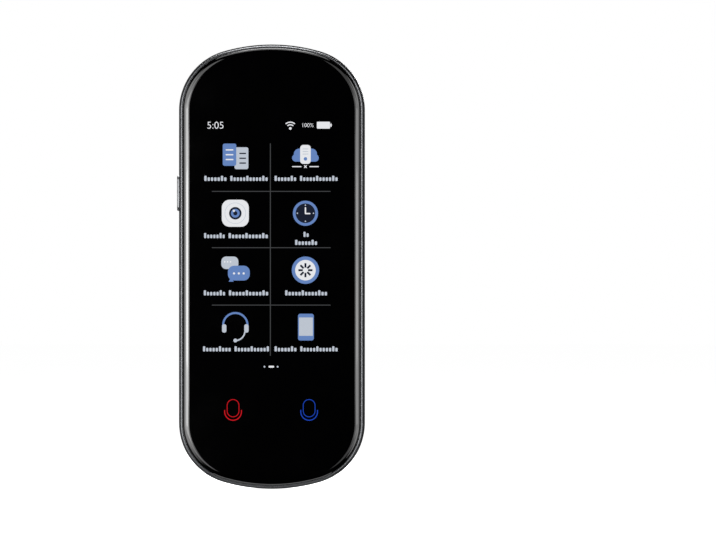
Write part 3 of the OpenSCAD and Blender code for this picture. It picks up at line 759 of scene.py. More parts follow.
PLAIN_FINISHES: dict[str, PlainFinish] = {
    "black_tape": PlainFinish((0.02, 0.02, 0.021), 0.85, 0, Grain.BLASTED, 0.3, 0.03),
    "sensor_glass": PlainFinish((0.02, 0.024, 0.027), 0.08, 0, Grain.SMOOTH, 6, 0.004),
    "panel_glass": PlainFinish((0.008, 0.01, 0.012), 0.1, 0, Grain.SMOOTH, 8, 0.004),
    "white_plastic": PlainFinish((0.8, 0.81, 0.82), 0.45, size=0.8, depth=0.01),
    "ribbon_film": PlainFinish((0.34, 0.12, 0.025), 0.28, 0, Grain.BRUSHED, 0.35, 0.01,
                               second=(0.22, 0.07, 0.015)),
    "frame_metal": PlainFinish((0.27, 0.28, 0.3), 0.5, 0.9, Grain.BLASTED, 0.14, 0.015),
    "screw_steel": PlainFinish((0.36, 0.37, 0.38), 0.24, 1.0, Grain.BRUSHED, 0.06, 0.004),
    "circuit_board": PlainFinish((0.012, 0.08, 0.035), 0.38, 0, Grain.TRACKS, 1.1, 0.02,
                                 second=(0.03, 0.16, 0.07)),
    "shield_tin": PlainFinish((0.5, 0.51, 0.52), 0.3, 1.0, Grain.BRUSHED, 0.12, 0.006),
    "chip_resin": PlainFinish((0.012, 0.012, 0.013), 0.55, 0, Grain.BLASTED, 0.08, 0.008),
    "grey_pad": PlainFinish((0.22, 0.32, 0.4), 0.75, 0, Grain.CREASED, 0.7, 0.04),
    "ivory_plastic": PlainFinish((0.7, 0.65, 0.52), 0.4, size=0.5, depth=0.01),
    "cell_foil": PlainFinish((0.34, 0.36, 0.38), 0.38, 0.85, Grain.CREASED, 1.6, 0.05),
    "white_tape": PlainFinish((0.82, 0.82, 0.78), 0.6, 0, Grain.BRUSHED, 0.3, 0.01),
    "sleeve_steel": PlainFinish((0.42, 0.44, 0.46), 0.26, 1.0, Grain.BRUSHED, 0.08, 0.005),
    "black_plastic": PlainFinish((0.012, 0.012, 0.013), 0.45, size=0.2, depth=0.01),
    "gilt_metal": PlainFinish((0.62, 0.42, 0.14), 0.25, 1.0, Grain.BRUSHED, 0.06, 0.004),
    "black_rubber": PlainFinish((0.01, 0.01, 0.01), 0.7, size=0.3, depth=0.02),
    "led_yellow": PlainFinish((0.78, 0.7, 0.25), 0.3, size=0.2, depth=0.01),
    "clear_plastic": PlainFinish((0.7, 0.73, 0.76), 0.3, 0, Grain.BLASTED, 0.2, 0.01),
    "mesh_fabric": PlainFinish((0.004, 0.004, 0.004), 0.9, 0, Grain.WOVEN, 0.2, 0.03,
                               second=(0.009, 0.009, 0.01), shine=0.05),
    "magnet_metal": PlainFinish((0.3, 0.31, 0.32), 0.3, 1.0, Grain.BLASTED, 0.2, 0.006),
    "cone_film": PlainFinish((0.09, 0.07, 0.055), 0.35, 0, Grain.CREASED, 1.2, 0.03),
    "sensor_chip": PlainFinish((0.05, 0.07, 0.1), 0.12, 0, Grain.WOVEN, 0.4, 0.002,
                               second=(0.08, 0.06, 0.14)),
    "ring_gloss": PlainFinish((0.004, 0.004, 0.005), 0.16, 0, Grain.SMOOTH, 1.5, 0.0005,
                              shine=0.12),
    # near-black painted shade for the walls of the speaker's holes
    "hole_wall": PlainFinish((0.006, 0.006, 0.007), 0.7, size=0.2, depth=0.01, shine=0.1),
}


def dress(piece: bpy.types.Object, finish: Any) -> bpy.types.Object:
    """Gives a piece one finish, named after the piece."""
    piece.data.materials.clear()
    piece.data.materials.append(finish.make(f"{piece.name}_finish"))
    return piece


def place(piece: bpy.types.Object, body: str, slot: str, *nodes: str) -> None:
    """Puts a piece on its body, in the place of the nodes it stands for."""
    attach(piece, body)
    if nodes:
        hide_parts(*nodes)
    log.info("%s: %d faces on %s", piece.name, len(piece.data.polygons), body)


# ---------------------------------------------------------------- casing


@dataclass
class RearShell:
    """The painted shell: belt, round rim, soft groove and raised back, with its openings."""

    line: BodyLine = field(default_factory=BodyLine)
    edge: Step = (0.12, 9.9)  # inset and height where it meets the ring
    belt: float = 6.2  # height of the widest line
    rim: Step = (4, 1.5)  # how far in the round rim reaches, and its height
    rim_share: float = 0.839  # the rim's part of a quarter turn
    slopes: tuple[Step, ...] = ((3, 0.3), (4.9, 0.1), (5.5, -0.2), (6.4, -0.2), (9, 0.725),
                                (9.7, 0.725), (10.5, 0))
    slope_parts: int = 5
    cap: Step = (0.15, 0.6)  # two last insets on the flat raised area
    wall: float = 1.1
    smooth: float = 32
    hole_r: float = 0.86
    hole_flare: float = 0.12
    hole_reach: float = 14  # the holes lie at least this far below the bow's centre
    # the painted shade of a hole's wall reaches this far beside the hole and starts this far below
    # the face
    skin: Step = (0.08, 0.02)  # beside a hole and below the face, what still counts as its wall
    # Each row's bow radius and number of holes.
    rows: tuple[tuple[float, int], ...] = ((17, 5), (20.6, 7))
    row_z: float = 61.4  # the bows' centre
    pitch: float = 2.52
    camera_z: float = 56.2
    seat_r: float = 4.3
    seat_h: float = 0.9
    well_r: float = 3.46
    key_z: float = 22.9
    key_slot: Step = (2.8, 11.2)  # depth and length
    port_slot: Step = (9.24, 3.5)  # width and depth
    mic: Point = (8.6, 5.1, 0.5)  # place across, height and radius of the microphone's hole
    steps: int = 12
    side_parts: int = 4

    def section(self) -> list[Step]:
        """The outside, from the belt over the round rim to the raised back."""
        across, top = self.rim
        points = ellipse(0, self.belt, across, top - self.belt, self.steps, self.rim_share)
        for (near, here), (far, there) in zip(self.slopes, self.slopes[1:]):
            height, run = points[-1][1], far - near
            for i in range(1, self.slope_parts + 1):
                along = run * i / self.slope_parts
                fall = here * along + (there - here) * along**2 / (2 * run)
                points.append((near + along, height - fall))
        edge = points.pop()[0]
        return [*points, (edge, 0), *((edge + more, 0) for more in self.cap)]

    def tuck(self) -> list[Step]:
        """The side, from the belt to the edge at the ring, with a slight draft."""
        inset, height = self.edge
        parts = self.side_parts
        return [(inset * i / parts, self.belt + (height - self.belt) * i / parts)
                for i in range(parts + 1)]

    def build(self) -> bpy.types.Object:
        """Builds the shell and cuts its openings."""
        section = self.section()
        work = Workpiece("painted_shell")
        work.body_face(self.line, *section[0], Facing.BACK)
        work.follow(section, outwards=-1)
        work.body_face(self.line, *section[0], Facing.FRONT)
        work.follow(self.tuck())
        bpy.ops.mesh.delete(type="FACE")
        shell = work.done()
        apply(shell, "SOLIDIFY", thickness=self.wall * MM, offset=-1, use_even_offset=True)
        for cutter in (self._grille(), self._camera_bore(), self._key_slot(), self._end_holes()):
            cut(shell, cutter)
        shade_round(shell, self.smooth)
        dress(shell, FlakePaint())
        # paints shade into the walls of the speaker's holes
        self._paint_shade_in_holes(shell)
        return shell

    def _paint_shade_in_holes(self, shell: bpy.types.Object) -> None:
        """Gives the walls of the speaker's holes a near-black finish: painted shade in the holes.
        """
        shell.data.materials.append(PLAIN_FINISHES["hole_wall"].make("hole_wall_finish"))
        beside, below = self.skin
        for face in shell.data.polygons:
            middle = face.center / MM
            if middle.y < -below and middle.z < self.row_z - self.hole_reach:
                away = min(math.dist((middle.x, middle.z), hole) for hole in self.holes())
                if away < self.hole_r + beside:
                    face.material_index = 1

    def holes(self) -> list[Step]:
        """Where the speaker's holes lie, in two bent rows."""
        found = []
        for radius, count in self.rows:
            for i in range(count):
                angle = (i - (count - 1) / 2) * self.pitch / radius
                found.append((radius * math.sin(angle), self.row_z - radius * math.cos(angle)))
        return found

    def _grille(self) -> bpy.types.Object:
        """The speaker's holes, flared at the face: one cutter, copied to the others."""
        holes, flare = self.holes(), self.hole_flare
        work = Workpiece("grille_cutter")
        work.disc(*holes[0], self.hole_r + flare, -CLEAR)
        work.follow([(0, -CLEAR), (0, 0), (flare, flare)])
        work.go(y=-THROUGH)
        work.close()
        moves = [(x - holes[0][0], 0, z - holes[0][1]) for x, z in holes[1:]]
        return copies(work.done(), moves)

    def _camera_bore(self) -> bpy.types.Object:
        """The stepped seat of the camera."""
        work = Workpiece("camera_cutter")
        work.disc(0, self.camera_z, self.seat_r, -CLEAR, sides=FINE)
        work.follow([(0, -CLEAR), (0, self.seat_h), (self.seat_r - self.well_r, self.seat_h)])
        work.go(y=-THROUGH - CLEAR)
        work.close()
        return work.done()

    def _key_slot(self) -> bpy.types.Object:
        """The slot in the side."""
        work = Workpiece("key_cutter")
        depth, length = self.key_slot
        work.plate(-self.line.half_w + THROUGH, self.key_z, depth, length, depth / 2, self.belt,
                   Facing.KEY_SIDE, segments=10)
        work.go(x=-THROUGH - CLEAR)
        return work.done()

    def _end_holes(self) -> bpy.types.Object:
        """The port's slot and the microphone's hole in the lower end."""
        work = Workpiece("end_cutter")
        inside = -self.line.half_l + THROUGH
        width, depth = self.port_slot
        work.plate(0, inside, width, depth, depth / 2, self.belt, Facing.LOWER_END, segments=12)
        work.go(z=-THROUGH - CLEAR)
        x, height, radius = self.mic
        work.disc(x, inside, radius, height, Facing.LOWER_END, 32)
        work.go(z=-THROUGH - 2 * CLEAR)
        return work.done()


@dataclass
class BrightRing:
    """The metal ring round the glass, with a crowned lip that catches a thin line of light."""

    line: BodyLine = field(default_factory=BodyLine)
    outer: float = 0.6
    inner: float = 1.9
    low: float = 9.9
    seat: float = 10.95
    lip_in: float = 1.17
    lip_top: float = 11.35
    # The lip's outer edge: inset and drop from its top.
    rise: tuple[Step, ...] = ((0, 0.3), (0.04, 0.19), (0.12, 0.09), (0.22, 0.02), (0.3, 0))
    # The lip's inner edge, the same way.
    fall: tuple[Step, ...] = ((0.12, 0.005), (0.04, 0.04), (0, 0.12))
    notch: Point = (1.2, 0.8, 10.1)  # width, depth and height of the sound slot's floor
    notch_in: float = 1.07  # how far the slot's outer end lies inside the body's line
    notch_corner: float = 0.3

    def build(self) -> bpy.types.Object:
        """Builds the ring."""
        section = [(self.outer, self.low),
                   *((self.outer + across, self.lip_top - down) for across, down in self.rise),
                   *((self.lip_in - across, self.lip_top - down) for across, down in self.fall),
                   (self.lip_in, self.seat), (self.inner, self.seat), (self.inner, self.low)]
        work = Workpiece("bright_ring")
        work.body_face(self.line, self.outer, self.low, Facing.FRONT)
        work.follow(section)
        work.hollow()
        ring = work.done(smooth=40)
        cut(ring, self._notch())
        return dress(ring, PolishedMetal())

    def _notch(self) -> bpy.types.Object:
        """The small sound slot at the top."""
        width, depth, low = self.notch
        work = Workpiece("notch_cutter")
        middle = self.line.half_l - self.notch_in - depth
        work.plate(0, middle, width, 2 * depth, self.notch_corner, low)
        work.go(y=-THROUGH)
        return work.done()


@dataclass
class CurvedGlass:
    """The black glass with its curved edge."""

    line: BodyLine = field(default_factory=BodyLine)
    edge: float = 1.3
    back: float = 11.1
    face: float = 12.37
    curve: Step = (2.2, 0.92)  # how far the edge's curve reaches in and down
    cap: Step = (0.2, 0.8)  # two last insets on the flat face
    steps: int = 14

    def build(self) -> bpy.types.Object:
        """Builds the glass."""
        across, drop = self.curve
        section = [(self.edge, self.back),
                   *ellipse(self.edge, self.face - drop, across, drop, self.steps),
                   *((self.edge + across + more, self.face) for more in self.cap)]
        work = Workpiece("curved_glass")
        work.body_face(self.line, *section[0], Facing.FRONT)
        work.follow(section)
        work.close()
        return dress(work.done(smooth=30), BlackGlass())


# ---------------------------------------------------------------- camera and key


@dataclass
class CameraEye:
    """The round camera: gloss ring, window, and the lens barrel that moves behind it."""

    z: float = 56.2
    ring_r: float = 4.26
    proud: float = 0.8
    seat_h: float = 0.9
    collar: Step = (0.1, 0.25)  # the ring's wall and lip behind the window
    bright: Step = (0.19, 0.2)  # how wide and deep the bright bevel is
    # The inner edge: inset and drop from the top.
    bevel: tuple[Step, ...] = ((0, 0.16), (0.2, 0.02), (0.32, 0))
    # The outer edge, the same way.
    roll: tuple[Step, ...] = ((0.34, 0), (0.2, 0.03), (0.07, 0.12), (0.01, 0.26), (0, 0.4))
    window_r: float = 3.0
    window_t: float = 0.6
    play: float = 0.02
    pane_edge: float = 0.06
    pane_cap: float = 0.2  # a last inset on the window's flat face
    sink: float = 0.1
    lip_r: float = 2.65
    barrel_r: float = 2.4
    barrel: Step = (0.45, 4.5)  # heights of the barrel's front and back
    barrel_edge: float = 0.05
    # The rings in the barrel: past the lens and down from the front.
    tiers: tuple[Step, ...] = ((-0.5, 0.9), (-0.3, 0.5), (0, 0.35), (0, 0.14), (0.08, 0.14),
                               (0.08, 0.03), (0.11, 0))
    dome_r: float = 2.25
    dome_rise: float = 0.16
    dome_sink: float = 0.36
    dome_share: float = 0.985
    dome_steps: int = 10
    dome_root: Step = (0.9, 0.1)  # the lens behind its dome: share of the radius, and depth

    def build(self) -> None:
        """Builds the ring, the window and the lens, and puts them on their bodies."""
        place(self._ring(), "housing", "ring_gloss", "camera_ring")
        place(self._window(), "housing", "lens_glass", "camera_window")
        place(self._barrel(), "focus_lens", "black_plastic", "lens_barrel")
        place(self._dome(), "focus_lens", "lens_glass")

    def _ring(self) -> bpy.types.Object:
        """The ring, with a rolled outer edge and a bright inner bevel."""
        top = -self.proud
        floor = top + self.sink + self.window_t
        inner, outer = self.window_r, self.ring_r
        wall, lip = self.collar
        section = [(self.lip_r, floor), (inner, floor),
                   *((inner + across, top + down) for across, down in self.bevel),
                   *((outer - across, top + down) for across, down in self.roll),
                   (outer, self.seat_h), (inner + wall, self.seat_h), (inner + wall, floor + lip),
                   (self.lip_r, floor + lip), (self.lip_r, floor)]
        work = Workpiece("camera_bezel")
        work.turned(0, self.z, section)
        ring = dress(work.done(smooth=32), PLAIN_FINISHES["ring_gloss"])
        bright = PolishedMetal((0.06, 0.06, 0.065), 0.3).make("camera_bevel_finish")
        ring.data.materials.append(bright)
        self._brighten(ring, top)
        return ring

    def _brighten(self, ring: bpy.types.Object, top: float) -> None:
        """Gives the inner bevel its bright finish."""
        wide, deep = self.bright
        for face in ring.data.polygons:
            away = math.hypot(face.center.x, face.center.z - self.z * MM) / MM - self.window_r
            if 0 < away < wide and -face.center.y / MM < top + deep:
                face.material_index = 1

    def _window(self) -> bpy.types.Object:
        """The clear window with a fine bevel on its edge."""
        work = Workpiece("camera_pane")
        face = -self.proud + self.sink
        thick, edge = self.window_t, self.pane_edge
        work.disc(0, self.z, self.window_r - self.play, face + thick, Facing.BACK, FINE)
        work.follow([(0, 0), (0, thick - edge), (edge, thick), (self.pane_cap, thick)])
        work.close()
        return dress(work.done(smooth=30), ClearGlass())

    def _barrel(self) -> bpy.types.Object:
        """The barrel: rings that step down round the front lens."""
        (low, high), outer, edge = self.barrel, self.barrel_r, self.barrel_edge
        section = [(0, low + self.tiers[0][1]),
                   *((self.dome_r + across, low + down) for across, down in self.tiers),
                   (outer - edge, low), (outer, low + edge), (outer, high), (0, high)]
        work = Workpiece("lens_holder")
        work.turned(0, self.z, section)
        return dress(work.done(smooth=32), PLAIN_FINISHES["black_plastic"])

    def _dome(self) -> bpy.types.Object:
        """The front lens: a shallow dome in the holder."""
        low = self.barrel[0] + self.dome_sink
        wide = self.dome_r * self.dome_share
        share, down = self.dome_root
        steps = self.dome_steps
        angles = [i / steps * math.pi / 2 for i in range(steps + 1)]
        crown = [(wide * math.sin(a), low - self.dome_rise * math.cos(a)) for a in angles]
        work = Workpiece("front_lens")
        work.turned(0, self.z, [*crown, (self.dome_r * share, low + down), (0, low + down)])
        return dress(work.done(smooth=50), LensWithPaintedReflections(0, self.z, self.dome_r))


@dataclass
class SideKey:
    """The silver key in the side: a long crowned cap on its flange."""

    x: float = -29.6
    z: float = 22.9
    height: float = 6.2
    width: float = 2.6
    length: float = 11
    root: float = -27.3
    edge: float = 0.34
    flange: Point = (0.5, 3.3, 13)  # thickness, width and length
    pusher: Point = (0.6, 1.6, 2)  # the stub on the switch: length, width and height
    corners: Step = (0.3, 0.15)  # radii of the flange's and the stub's corners
    cap: Step = (0.3, 0.6)  # two last insets on the flat cap
    edge_steps: int = 6
    overlap: float = 0.1  # how far one part of the key runs into the next

    def build(self) -> bpy.types.Object:
        """Builds the key."""
        side, overlap = Facing.KEY_SIDE, self.overlap
        thick, wide, long = self.flange
        out = self.root - self.x
        rounding = ellipse(0, out - self.edge, self.edge, self.edge, self.edge_steps)
        crown = [(0, -overlap), *rounding, *((self.edge + more, out) for more in self.cap)]
        work = Workpiece("silver_key")
        work.plate(self.root + thick, self.z, wide, long, self.corners[0], self.height, side)
        work.go(x=-thick)
        work.plate(self.root + overlap, self.z, self.width, self.length, self.width / 2,
                   self.height, side, segments=12)
        work.follow(crown)
        work.close()
        length, across, along = self.pusher
        work.plate(self.root + thick + length, self.z, across, along, self.corners[1],
                   self.height, side)
        work.go(x=-length - overlap)
        silver = PolishedMetal((0.18, 0.184, 0.19), 0.36, 0.06, (1, 1, 0.06))
        return dress(work.done(smooth=32), silver)


# ---------------------------------------------------------------- the lit screen


class Ink(Enum):
    """The colours on the screen, with their light."""

    WHITE = (0.86, 0.87, 0.9)
    PALE = (0.55, 0.6, 0.68)
    BLUE = (0.14, 0.25, 0.55)
    GREY = (0.055, 0.057, 0.06)
    RED = (0.62, 0.008, 0.014)
    AZURE = (0.012, 0.062, 0.5)
    DARK = (0.01, 0.014, 0.03)


@dataclass
class LitScreen:
    """What the screen shows: status row, eight pictograms over word bars, and two touch keys.

    Every mark is a thin solid of one ink on the glass, laid in layers so that none share a face.
    """

    face: float = 12.37
    layer: float = 0.008
    columns: Step = (-11.3, 10.5)
    rows: tuple[float, ...] = (34.3, 16.6, -0.9, -18.6)
    # Each label's middle and the lengths of its words.
    labels: tuple[tuple[float, float, tuple[float, ...]], ...] = (
        (-11.1, 27.2, (7.2, 11.9)), (10.7, 27.2, (7.0, 12.0)), (-11.1, 9.4, (6.7, 12.5)),
        (10.7, 9.8, (1.9,)), (10.7, 7.3, (7.1,)), (-11.1, -8.4, (6.9, 12.5)),
        (10.7, -8.4, (13.3,)), (-11.1, -25.8, (8.9, 11.0)), (10.7, -25.8, (7.1, 11.9)),
    )
    word_gap: float = 0.9
    block_h: Step = (1.1, 1.6)  # heights of a low and a tall block
    block_pitch: float = 1.02
    block_gap: float = 0.3
    status_z: float = 43.98
    number_offset: float = -0.008
    page_z: float = -31.1
    key_z: float = -44.0
    key_x: Step = (-12.0, 11.65)
    line_w: Step = (0.22, 0.3)  # widths of a capsule's and a cradle's line
    capsule: Point = (3.9, 5.6, 1.94)  # width, length and corner
    cradle_r: float = 2.75
    work: Workpiece = field(init=False)
    ink: Ink = field(init=False)
    middle: Step = (0, 0)

    def build(self) -> None:
        """Draws everything, one ink after another, and puts the sheets on the housing."""
        for ink in Ink:
            self.work = Workpiece(f"screen_{ink.name.lower()}")
            self.ink = ink
            self._status_row()
            self._dividers()
            self._pictograms()
            self._labels()
            self._page_dots()
            self._touch_keys()
            sheet = self.work.done(weld=False)
            if ink is Ink.WHITE:
                self._numbers(sheet)
            place(dress(sheet, GlowingInk(ink.value)), "housing", "panel_glass")

    def _from_middle(self, x: float, z: float) -> Step:
        """A place on the screen, from the middle of the pictogram that is being drawn."""
        return self.middle[0] + x, self.middle[1] + z

    def _raise(self, level: int) -> None:
        """Gives the selected flat mark its thickness, more for a mark that lies on others."""
        bpy.ops.mesh.select_linked()
        self.work.go(y=-self.layer * (level + 1))

    def _bar(self, ink: Ink, x: float, z: float, width: float, length: float, corner: float = 0,
             level: int = 0, turn: float = 0, segments: int = 6) -> None:
        """A rectangular mark with round corners."""
        if ink is self.ink:
            x, z = self._from_middle(x, z)
            self.work.plate(x, z, width, length, corner, self.face, turn=turn, segments=segments)
            self._raise(level)

    def _dot(self, ink: Ink, x: float, z: float, radius: float, level: int = 0,
             sides: int = 40) -> None:
        """A round mark, or a polygon where it has few sides."""
        if ink is self.ink:
            self.work.disc(*self._from_middle(x, z), radius, self.face, sides=sides)
            self._raise(level)

    def _ring(self, ink: Ink, x: float, z: float, radius: float, width: float,
              level: int = 0) -> None:
        """A ring."""
        if ink is self.ink:
            x, z = self._from_middle(x, z)
            self.work.disc(x, z, radius, self.face)
            self._rim(x, z, radius, width, level)

    def _rim(self, x: float, z: float, reach: float, width: float, level: int) -> None:
        """Leaves only the rim of the flat mark that has just been drawn, and raises it.

        Args:
            x, z: the mark's middle.
            reach: a distance from there that takes in the mark and no other.
            width: the rim's width.
            level: how many marks it lies on.
        """
        self.work.step(width, 0)
        bpy.ops.mesh.delete(type="FACE")
        bpy.ops.mesh.select_mode(type="FACE")
        bpy.ops.mesh.select_all(action="DESELECT")
        for face in self.work.mesh().faces:
            middle = face.calc_center_median() / MM
            flat = all(abs(v.co.y + self.face * MM) < SAME for v in face.verts)
            loose = any(len(edge.link_faces) == 1 for edge in face.edges)
            face.select_set(flat and loose and math.dist((middle.x, middle.z), (x, z)) < reach)
        bmesh.update_edit_mesh(self.work.piece.data)
        self._raise(level)

    def _band(self, ink: Ink, x: float, z: float, radius: float, width: float, start: float,
              sweep: float, level: int = 0) -> None:
        """Part of a ring, from an angle over a sweep, both in degrees."""
        if ink is self.ink:
            x, z = self._from_middle(x, z)
            a = math.radians(start)
            self.work.start(x + radius * math.cos(a), self.face, z + radius * math.sin(a))
            self.work.go(x=width * math.cos(a), z=width * math.sin(a))
            bpy.ops.mesh.select_linked()
            self.work.arc(x, self.face, z, math.radians(sweep), 20)
            bpy.ops.mesh.select_linked()
            bpy.ops.mesh.select_mode(type="FACE")
            self.work.face_to(Facing.FRONT)
            self._raise(level)

    def _status_row(self) -> None:
        """The signal fan and the battery; the numbers come last."""
        z = self.status_z
        self._bar(Ink.WHITE, 16.1, z, 4.1, 2.15, 0.3)
        self._bar(Ink.WHITE, 18.45, z, 0.45, 1.0, 0.18)
        self._dot(Ink.WHITE, 5.8, z - 1.0, 0.42)
        self._band(Ink.WHITE, 5.8, z - 1.2, 1.15, 0.36, 48, 84)
        self._band(Ink.WHITE, 5.8, z - 1.2, 1.95, 0.36, 48, 84)

    def _numbers(self, sheet: bpy.types.Object) -> None:
        """The time and the charge, joined to the white sheet."""
        time = self._number("5:05", -20.0, self.status_z, 2.15)
        charge = self._number("100%", 9.6, self.status_z, 1.2)
        choose(sheet)
        time.select_set(True)
        charge.select_set(True)
        bpy.ops.object.join()

    def _number(self, words: str, x: float, z: float, height: float) -> bpy.types.Object:
        """Writes a number as a thin solid.

        Args:
            words: its digits.
            x: its left end.
            z: the middle of its height.
            height: the digits' height.

        Returns:
            its object, at the origin.
        """
        clear_selection()
        bpy.ops.object.text_add(rotation=(math.pi / 2, 0, 0))
        number = bpy.context.object
        number.data.body = words
        number.data.align_y = "BOTTOM_BASELINE"
        number.data.offset = self.number_offset
        bpy.ops.object.convert(target="MESH")
        tall = max(v.co.y for v in number.data.vertices)
        left = min(v.co.x for v in number.data.vertices)
        size = height * MM / tall
        number.scale = (size, size, size)
        number.location = (x * MM - left * size, -self.face * MM, (z - height / 2) * MM)
        bpy.ops.object.transform_apply(location=True, rotation=True, scale=True)
        bpy.ops.object.mode_set(mode="EDIT")
        bpy.ops.mesh.select_all(action="SELECT")
        bpy.ops.mesh.remove_doubles(threshold=SAME)
        bpy.ops.mesh.extrude_region_move(
            TRANSFORM_OT_translate={"value": in_metres(0, -self.layer, 0)}
        )
        bpy.ops.mesh.select_all(action="SELECT")
        bpy.ops.mesh.normals_make_consistent(inside=False)
        bpy.ops.object.mode_set(mode="OBJECT")
        return number

    def _dividers(self) -> None:
        """The thin grey lines between the fields."""
        self._bar(Ink.GREY, -0.4, 5.3, 0.28, 66)
        for z in (23.4, 5.9, -11.95):
            self._bar(Ink.GREY, -9.575, z, 18.05, 0.26)
            self._bar(Ink.GREY, 9.025, z, 18.55, 0.26)

    def _labels(self) -> None:
        """A row of plain blocks in word lengths under each pictogram."""
        for x, z, words in self.labels:
            left = x - (sum(words) + self.word_gap * (len(words) - 1)) / 2
            for word in words:
                self._word(left, z, word)
                left += word + self.word_gap

    def _word(self, left: float, z: float, length: float) -> None:
        """Blocks side by side over a length; every fifth, from the first, is taller."""
        count = round(length / self.block_pitch)
        pitch = length / count
        for i in range(count):
            tall = self.block_h[0 if i % 5 else 1]
            self._bar(Ink.PALE, left + (i + 0.5) * pitch, z + (tall - self.block_h[0]) / 2,
                      pitch - self.block_gap, tall, 0.2, segments=2)

    def _page_dots(self) -> None:
        """Two dots and a dash that show the page."""
        self._dot(Ink.PALE, -2.24, self.page_z, 0.28, sides=20)
        self._bar(Ink.WHITE, -0.1, self.page_z, 1.75, 0.6, 0.3)
        self._dot(Ink.PALE, 1.84, self.page_z, 0.28, sides=20)

    def _touch_keys(self) -> None:
        """A microphone in outline over each touch key, red and blue."""
        capsule, cradle = self.line_w
        for ink, x in zip((Ink.RED, Ink.AZURE), self.key_x):
            if ink is self.ink:
                self.work.plate(x, self.key_z, *self.capsule, self.face, segments=14)
                self._rim(x, self.key_z, 4, capsule, 0)
            rim = self.cradle_r - cradle
            low = self.key_z - 1.15
            self._band(ink, x, low, rim, cradle, 180, 180)
            for side in (-1, 1):
                self._bar(ink, x + side * (rim + cradle / 2), low + 0.3, cradle, 0.6)

    def _pictograms(self) -> None:
        """Eight plain pictograms, a row of two at a time."""
        draw = (self._cards, self._cloud, self._camera, self._clock, self._bubbles, self._reel,
                self._headphones, self._handset)
        for i, pictogram in enumerate(draw):
            self.middle = (self.columns[i % 2], self.rows[i // 2])
            pictogram()
        self.middle = (0, 0)

    def _cards(self) -> None:
        """Two cards with lines on them, one half over the other."""
        self._bar(Ink.PALE, 1.9, -0.6, 4.3, 6.8, 0.6)
        self._bar(Ink.BLUE, -1.8, 0.5, 4.2, 6.9, 0.6, 1)
        for i in range(3):
            self._bar(Ink.WHITE, -1.8, 2.0 - 1.5 * i, 2.4, 0.4, 0.16, 2)
            self._bar(Ink.DARK, 2.3, 0.9 - 1.5 * i, 2.1, 0.4, 0.16, 1)

    def _cloud(self) -> None:
        """A cloud behind a sheet, over a broken line with a cross."""
        for side in (-1, 1):
            self._dot(Ink.BLUE, side * 1.9, 0.7, 1.7)
            self._dot(Ink.BLUE, side * 3.0, -0.5, 1.15, 1)
            self._bar(Ink.WHITE, side * 2.7, -3.2, 2.9, 0.32, 0.14)
            self._bar(Ink.WHITE, 0, -3.2, 1.1, 0.28, 0.1, (side + 1) // 2, side * math.pi / 4)
        self._bar(Ink.BLUE, 0, -0.7, 6.2, 1.9, 0, 2)
        self._bar(Ink.WHITE, 0, 0.6, 3.3, 5.9, 1.0, 3)
        for up in (2.3, 1.5, 0.7):
            self._bar(Ink.PALE, 0, up, 1.8, 0.24, 0.1, 4)
        self._dot(Ink.BLUE, 0, -0.8, 0.55, 4, 24)

    def _camera(self) -> None:
        """A round lens on a square with soft corners."""
        self._bar(Ink.WHITE, 0, 0, 8.4, 8.4, 2.4)
        self._ring(Ink.PALE, 0, 0, 3.3, 0.14, 1)
        for radius, ink, level in ((1.95, Ink.DARK, 1), (1.35, Ink.BLUE, 2), (0.65, Ink.DARK, 3)):
            self._dot(ink, 0, 0, radius, level)
        self._dot(Ink.WHITE, -0.45, 0.75, 0.35, 4, 20)

    def _clock(self) -> None:
        """A clock face with two hands and four marks."""
        self._dot(Ink.BLUE, 0, 0, 3.9)
        self._dot(Ink.DARK, 0, 0, 3.05, 1)
        self._bar(Ink.WHITE, 0, 0.85, 0.42, 2.1, 0.2, 2)
        self._bar(Ink.WHITE, 0.7, -0.1, 1.7, 0.42, 0.2, 2)
        for across, up in ((2.5, 0), (-2.5, 0), (0, 2.5), (0, -2.5)):
            self._dot(Ink.PALE, across, up, 0.22, 2, 12)

    def _bubbles(self) -> None:
        """Two speech bubbles with dots in them."""
        self._bar(Ink.PALE, -1.7, 2.1, 5.3, 3.9, 1.5)
        self._bar(Ink.BLUE, 1.1, -1.1, 6.8, 4.6, 1.9, 1)
        self._dot(Ink.BLUE, -1.3, -3.3, 0.9, 0, 3)
        for i in range(3):
            self._dot(Ink.WHITE, 1.1 + (i - 1) * 1.5, -1.2, 0.34, 2, 20)
            self._dot(Ink.WHITE, -2.4 + (i - 1) * 0.9, 2.4, 0.24, 1, 16)

    def _reel(self) -> None:
        """A reel: a ring round a white disc with eight slots."""
        self._dot(Ink.BLUE, 0, -0.2, 4.25)
        self._dot(Ink.WHITE, 0, -0.2, 3.2, 1)
        for i in range(8):
            turn = i * math.pi / 4
            across, up = 1.5 * math.sin(turn), 1.5 * math.cos(turn)
            self._bar(Ink.DARK, across, -0.2 + up, 0.62, 1.4, 0.12, 2, -turn)

    def _headphones(self) -> None:
        """Headphones with a small microphone on a boom."""
        self._band(Ink.BLUE, 0, 0.4, 3.5, 0.6, 0, 180)
        for side in (-1, 1):
            self._bar(Ink.PALE, side * 3.45, -0.6, 1.35, 2.6, 0.6, 1)
        self._band(Ink.PALE, 0, -1.4, 2.75, 0.45, 275, 80)
        self._dot(Ink.PALE, 0, -4.35, 0.6, 1, 24)

    def _handset(self) -> None:
        """A handset with a pale screen."""
        self._bar(Ink.BLUE, 0.15, -0.2, 4.9, 8.3, 0.7)
        self._bar(Ink.PALE, 0.15, -0.05, 4.3, 5.7, 0.1, 1)


# ---------------------------------------------------------------- parts inside


